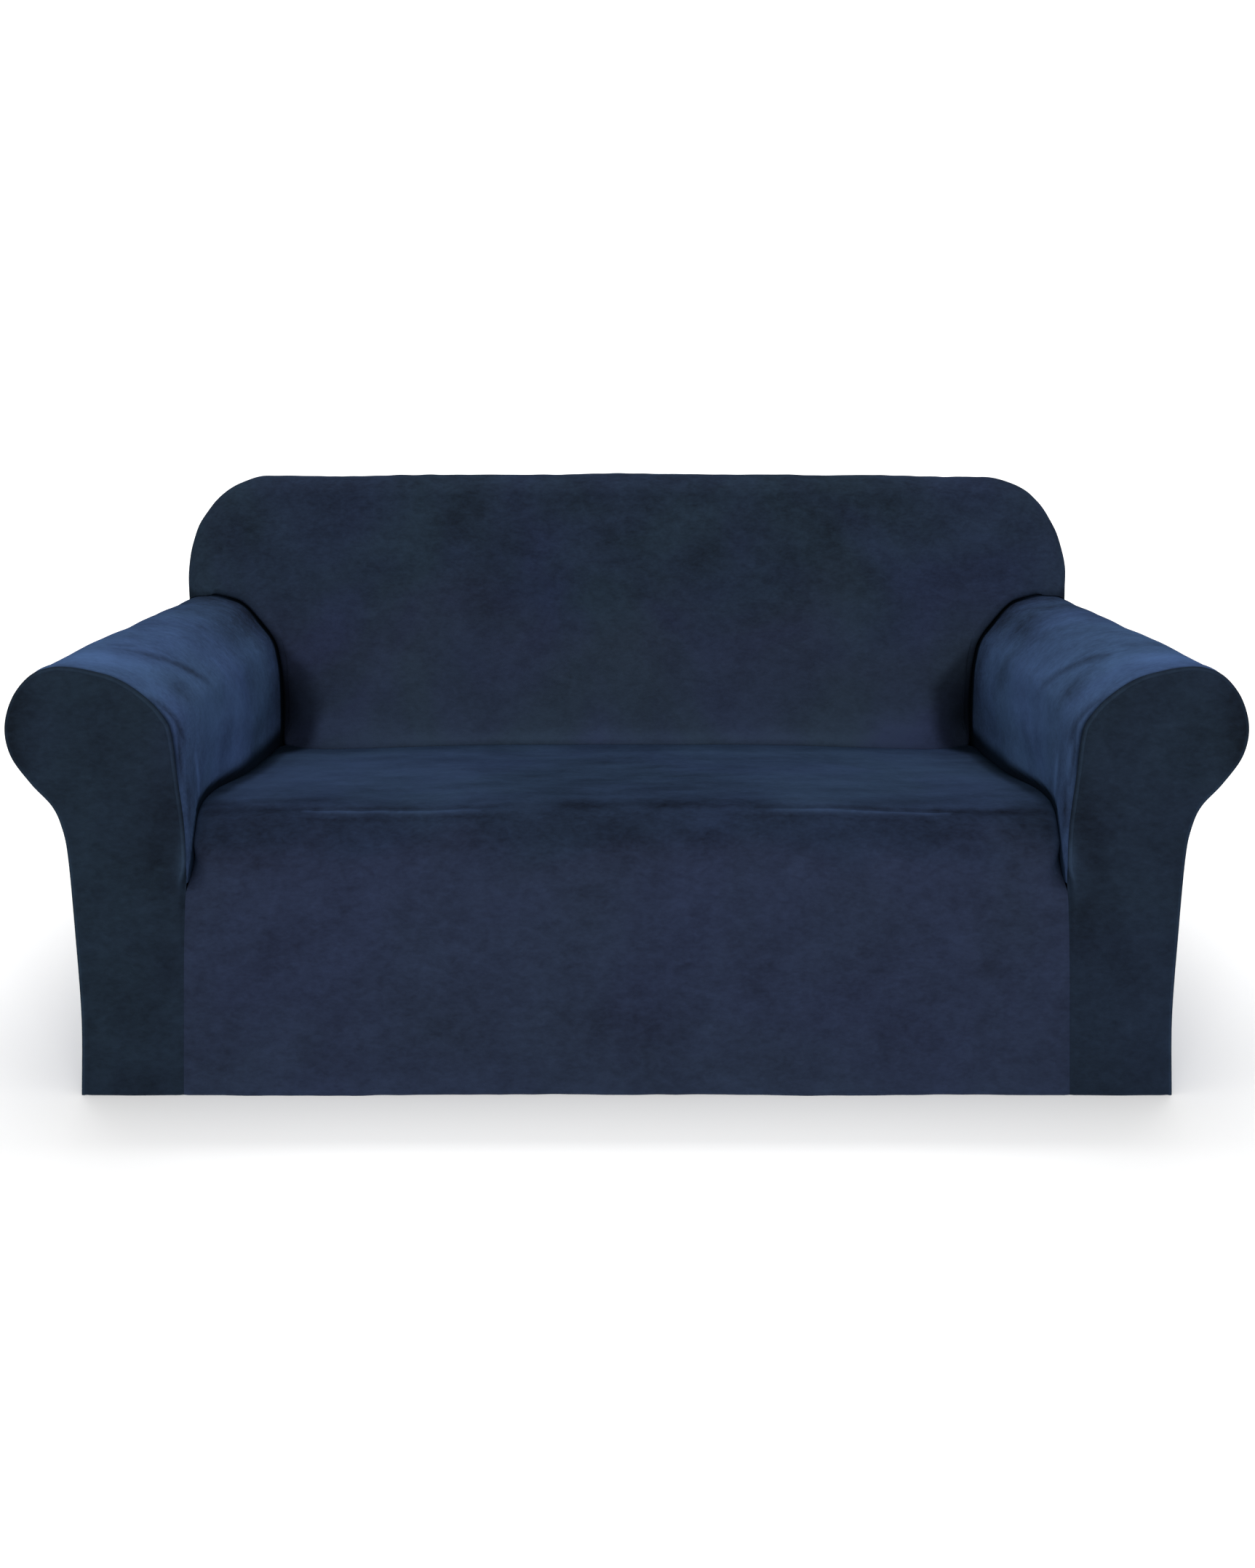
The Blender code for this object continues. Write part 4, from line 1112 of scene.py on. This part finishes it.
SEAT_TOP_PAINTED_LIGHT = (
    # nap, spans in x to either side and up from the hem: painted light on the seat's top, lighter than the
    # skirt and more towards its sides and rear
    (0.06, WHOLE, ON_SEAT),
    (0.08, (0.03, 0.16), ON_SEAT),
    (0.05, (0.25, 0.4), ON_SEAT),
    (0.02, WHOLE, (0.55, 0.8)),
    (0.12, WHOLE, (0.78, 0.84)),
)
SEAT_SIDE_PAINTED_SHADE = (
    # painted shade along the seat's side creases: depths from the front's values to the rear's; dark, where
    # it is gone and where full from the edge
    ((0.12, 0.20), (0.35, 0.035, 0.010), (0.62, 0.046, 0.026)),
    ((0.22, 0.34), (0.20, 0.010, 0.001), (0.40, 0.032, 0.001)),
)


def seat_painted_shade(side, z, depth, from_edge, from_rear, behind):
    """Painted shade of the creases round the seat, of its rear corners and along its tucked rear edge.
    behind is 1 behind the arm fronts.
    """
    shade = 0.25 * (1 - behind) * smooth(from_edge, 0.004, 0.001)
    for span, front, rear in SEAT_SIDE_PAINTED_SHADE:
        share = smooth(depth, *span)
        dark, gone, full = (a + (b - a) * share for a, b in zip(front, rear))
        shade = shade + behind * dark * smooth(from_edge, gone, full)
    shade = np.minimum(shade, 0.95) * smooth(z, 0.298, 0.312)
    corner = (0.655 - side) / 0.063 + (0.585 - depth) / 0.115
    shade = np.maximum(shade, 0.9 * smooth(corner, 1.20, 0.55))
    return np.maximum(shade, 0.20 * smooth(from_rear, 0.046, 0.036))


def add_seat_skirt():
    coarse = seat_grid()
    tucks, across = spacing(coarse, 1), spacing(coarse, 0)
    places = stepped(0.0, tucks[-1] - 0.010, CELL)
    columns = with_seams(stepped(0.0, across[-1], CELL, (across[len(across) // 2],)))
    grid = refined(coarse, columns, places)
    side, z = np.abs(grid[:, :, 0]), grid[:, :, 2]
    up = np.broadcast_to(places[None, :], z.shape)
    from_rear = tucks[-1] - up
    edge = np.minimum(columns, columns[-1] - columns)[:, None]
    flat_seam = FLAT_SEAM_SINK * hump(edge, SEAM_SOFT) * smooth(z, 0.31, 0.285)
    free = smooth(edge, 0.05, 0.12) * smooth(from_rear, 0.06, 0.14)
    uneven = free * (waves(grid, 0.0013, 0.24, 15) + waves(grid, 0.0004, 0.05, 16))
    height = lines(SEAT_FOLDS, side, up) + uneven - flat_seam
    grid = grid + vertex_normals(grid) * height[:, :, None]
    depth = grid[:, :, 1] - Y_FRONT
    from_edge = side.max(axis=0) - side
    behind = smooth(depth, 0.075, 0.115)
    streaks = smooth(up, *ON_SEAT) * waves(grid, 0.045, 0.05, 18, stretch=(0.35, 1.0, 1.0))
    # painted light where the skirt's top corners turn in beside the arms
    painted_light_beside_front = (1 - behind) * smooth(from_edge, 0.022, 0.004) * smooth(z, 0.298, 0.315)
    nap_and_painted_light = waves(grid, 0.02, 0.09, 17) + streaks + 0.28 * painted_light_beside_front + areas(SEAT_TOP_PAINTED_LIGHT, side, up)
    nap_and_painted_light = nap_and_painted_light + sum(size * hump(up - middle, width) for middle, width, size in SEAT_PAINTED_LIGHT_BANDS)
    nap_and_painted_light = nap_and_painted_light + patches(SEAT_PATCHES, side, up) + lines(SEAT_PAINTED_FOLD_LIGHT, side, up)
    shade = seat_painted_shade(side, z, depth, from_edge, from_rear, behind)
    # painted sheen: the seat's top turns bluer than the skirt
    blue = smooth(up + waves(grid, 0.012, 0.12, 19), 0.325, 0.385)
    look = looks(nap_and_painted_light, shade, grid, blue)
    faces = grid_quads(grid)
    add_cloth("seat_skirt", grid, faces, look, "seat_skirt")


add_arms()
add_arm_fronts()
add_inside_back()
add_outside_back()
add_seat_skirt()


# --- Floor, light and camera ---
LAMPS = (
    # name, place, what it points at, width and height, power
    ("overhead", (0.0, 0.2, 3.6), (0.0, 0.0, 0.4), (4.5, 3.0), 42.0),
    ("front", (0.0, -4.6, 1.7), (0.0, 0.0, 0.5), (5.0, 2.4), 150.0),
    ("backdrop", (0.0, 1.6, 4.6), (0.0, 5.0, 1.4), (6.0, 1.5), 190.0),
)


def add_stage():
    """A pale floor, just under the hems, that turns up into a pale wall far behind, in one sweep."""
    half, front, back, radius, top, level = 9.0, -9.0, 5.0, 3.0, 7.0, -0.0004
    profile = [(front, 0.0), (back - radius, 0.0)]
    for degrees in range(6, 91, 6):
        angle = math.radians(degrees)
        profile.append((back - radius + radius * math.sin(angle), radius * (1 - math.cos(angle))))
    profile.append((back, top))
    points = [(x, y, z + level) for x in (-half, half) for y, z in profile]
    count = len(profile)
    faces = [(n, n + 1, n + 1 + count, n + count)[::-1] for n in range(count - 1)]
    mesh = bpy.data.meshes.new("floor")
    mesh.from_pydata(points, [], faces)
    mesh.shade_smooth()
    material = bpy.data.materials.new("floor")
    material.use_nodes = True
    shader = material.node_tree.nodes["Principled BSDF"]
    shader.inputs["Base Color"].default_value = (0.92, 0.92, 0.92, 1.0)
    shader.inputs["Roughness"].default_value = 0.9
    shader.inputs["Specular IOR Level"].default_value = 0.2
    mesh.materials.append(material)
    floor = bpy.data.objects.new("floor", mesh)
    bpy.context.scene.collection.objects.link(floor)


def add_lamp(name, place, aim, size, power):
    light = bpy.data.lights.new(name, "AREA")
    light.shape = "RECTANGLE"
    light.size, light.size_y = size
    light.energy = power
    lamp = bpy.data.objects.new(name, light)
    bpy.context.scene.collection.objects.link(lamp)
    lamp.location = place
    lamp.rotation_euler = (Vector(aim) - Vector(place)).to_track_quat("-Z", "Y").to_euler()


def add_world(strength):
    world = bpy.data.worlds.new("studio")
    world.use_nodes = True
    world.node_tree.nodes["Background"].inputs["Color"].default_value = (1.0, 1.0, 1.0, 1.0)
    world.node_tree.nodes["Background"].inputs["Strength"].default_value = strength
    bpy.context.scene.world = world


def add_camera():
    data = bpy.data.cameras.new("camera")
    data.sensor_width = SENSOR
    data.lens = EYE_LENS
    data.shift_x, data.shift_y = EYE_SHIFT
    data.dof.use_dof = False
    camera = bpy.data.objects.new("camera", data)
    bpy.context.scene.collection.objects.link(camera)
    camera.location = EYE
    camera.rotation_euler = (math.pi / 2, 0.0, 0.0)
    bpy.context.scene.camera = camera


add_stage()
add_world(0.72)
for lamp in LAMPS:
    add_lamp(*lamp)
add_camera()
bpy.context.scene.view_settings.view_transform = "Standard"
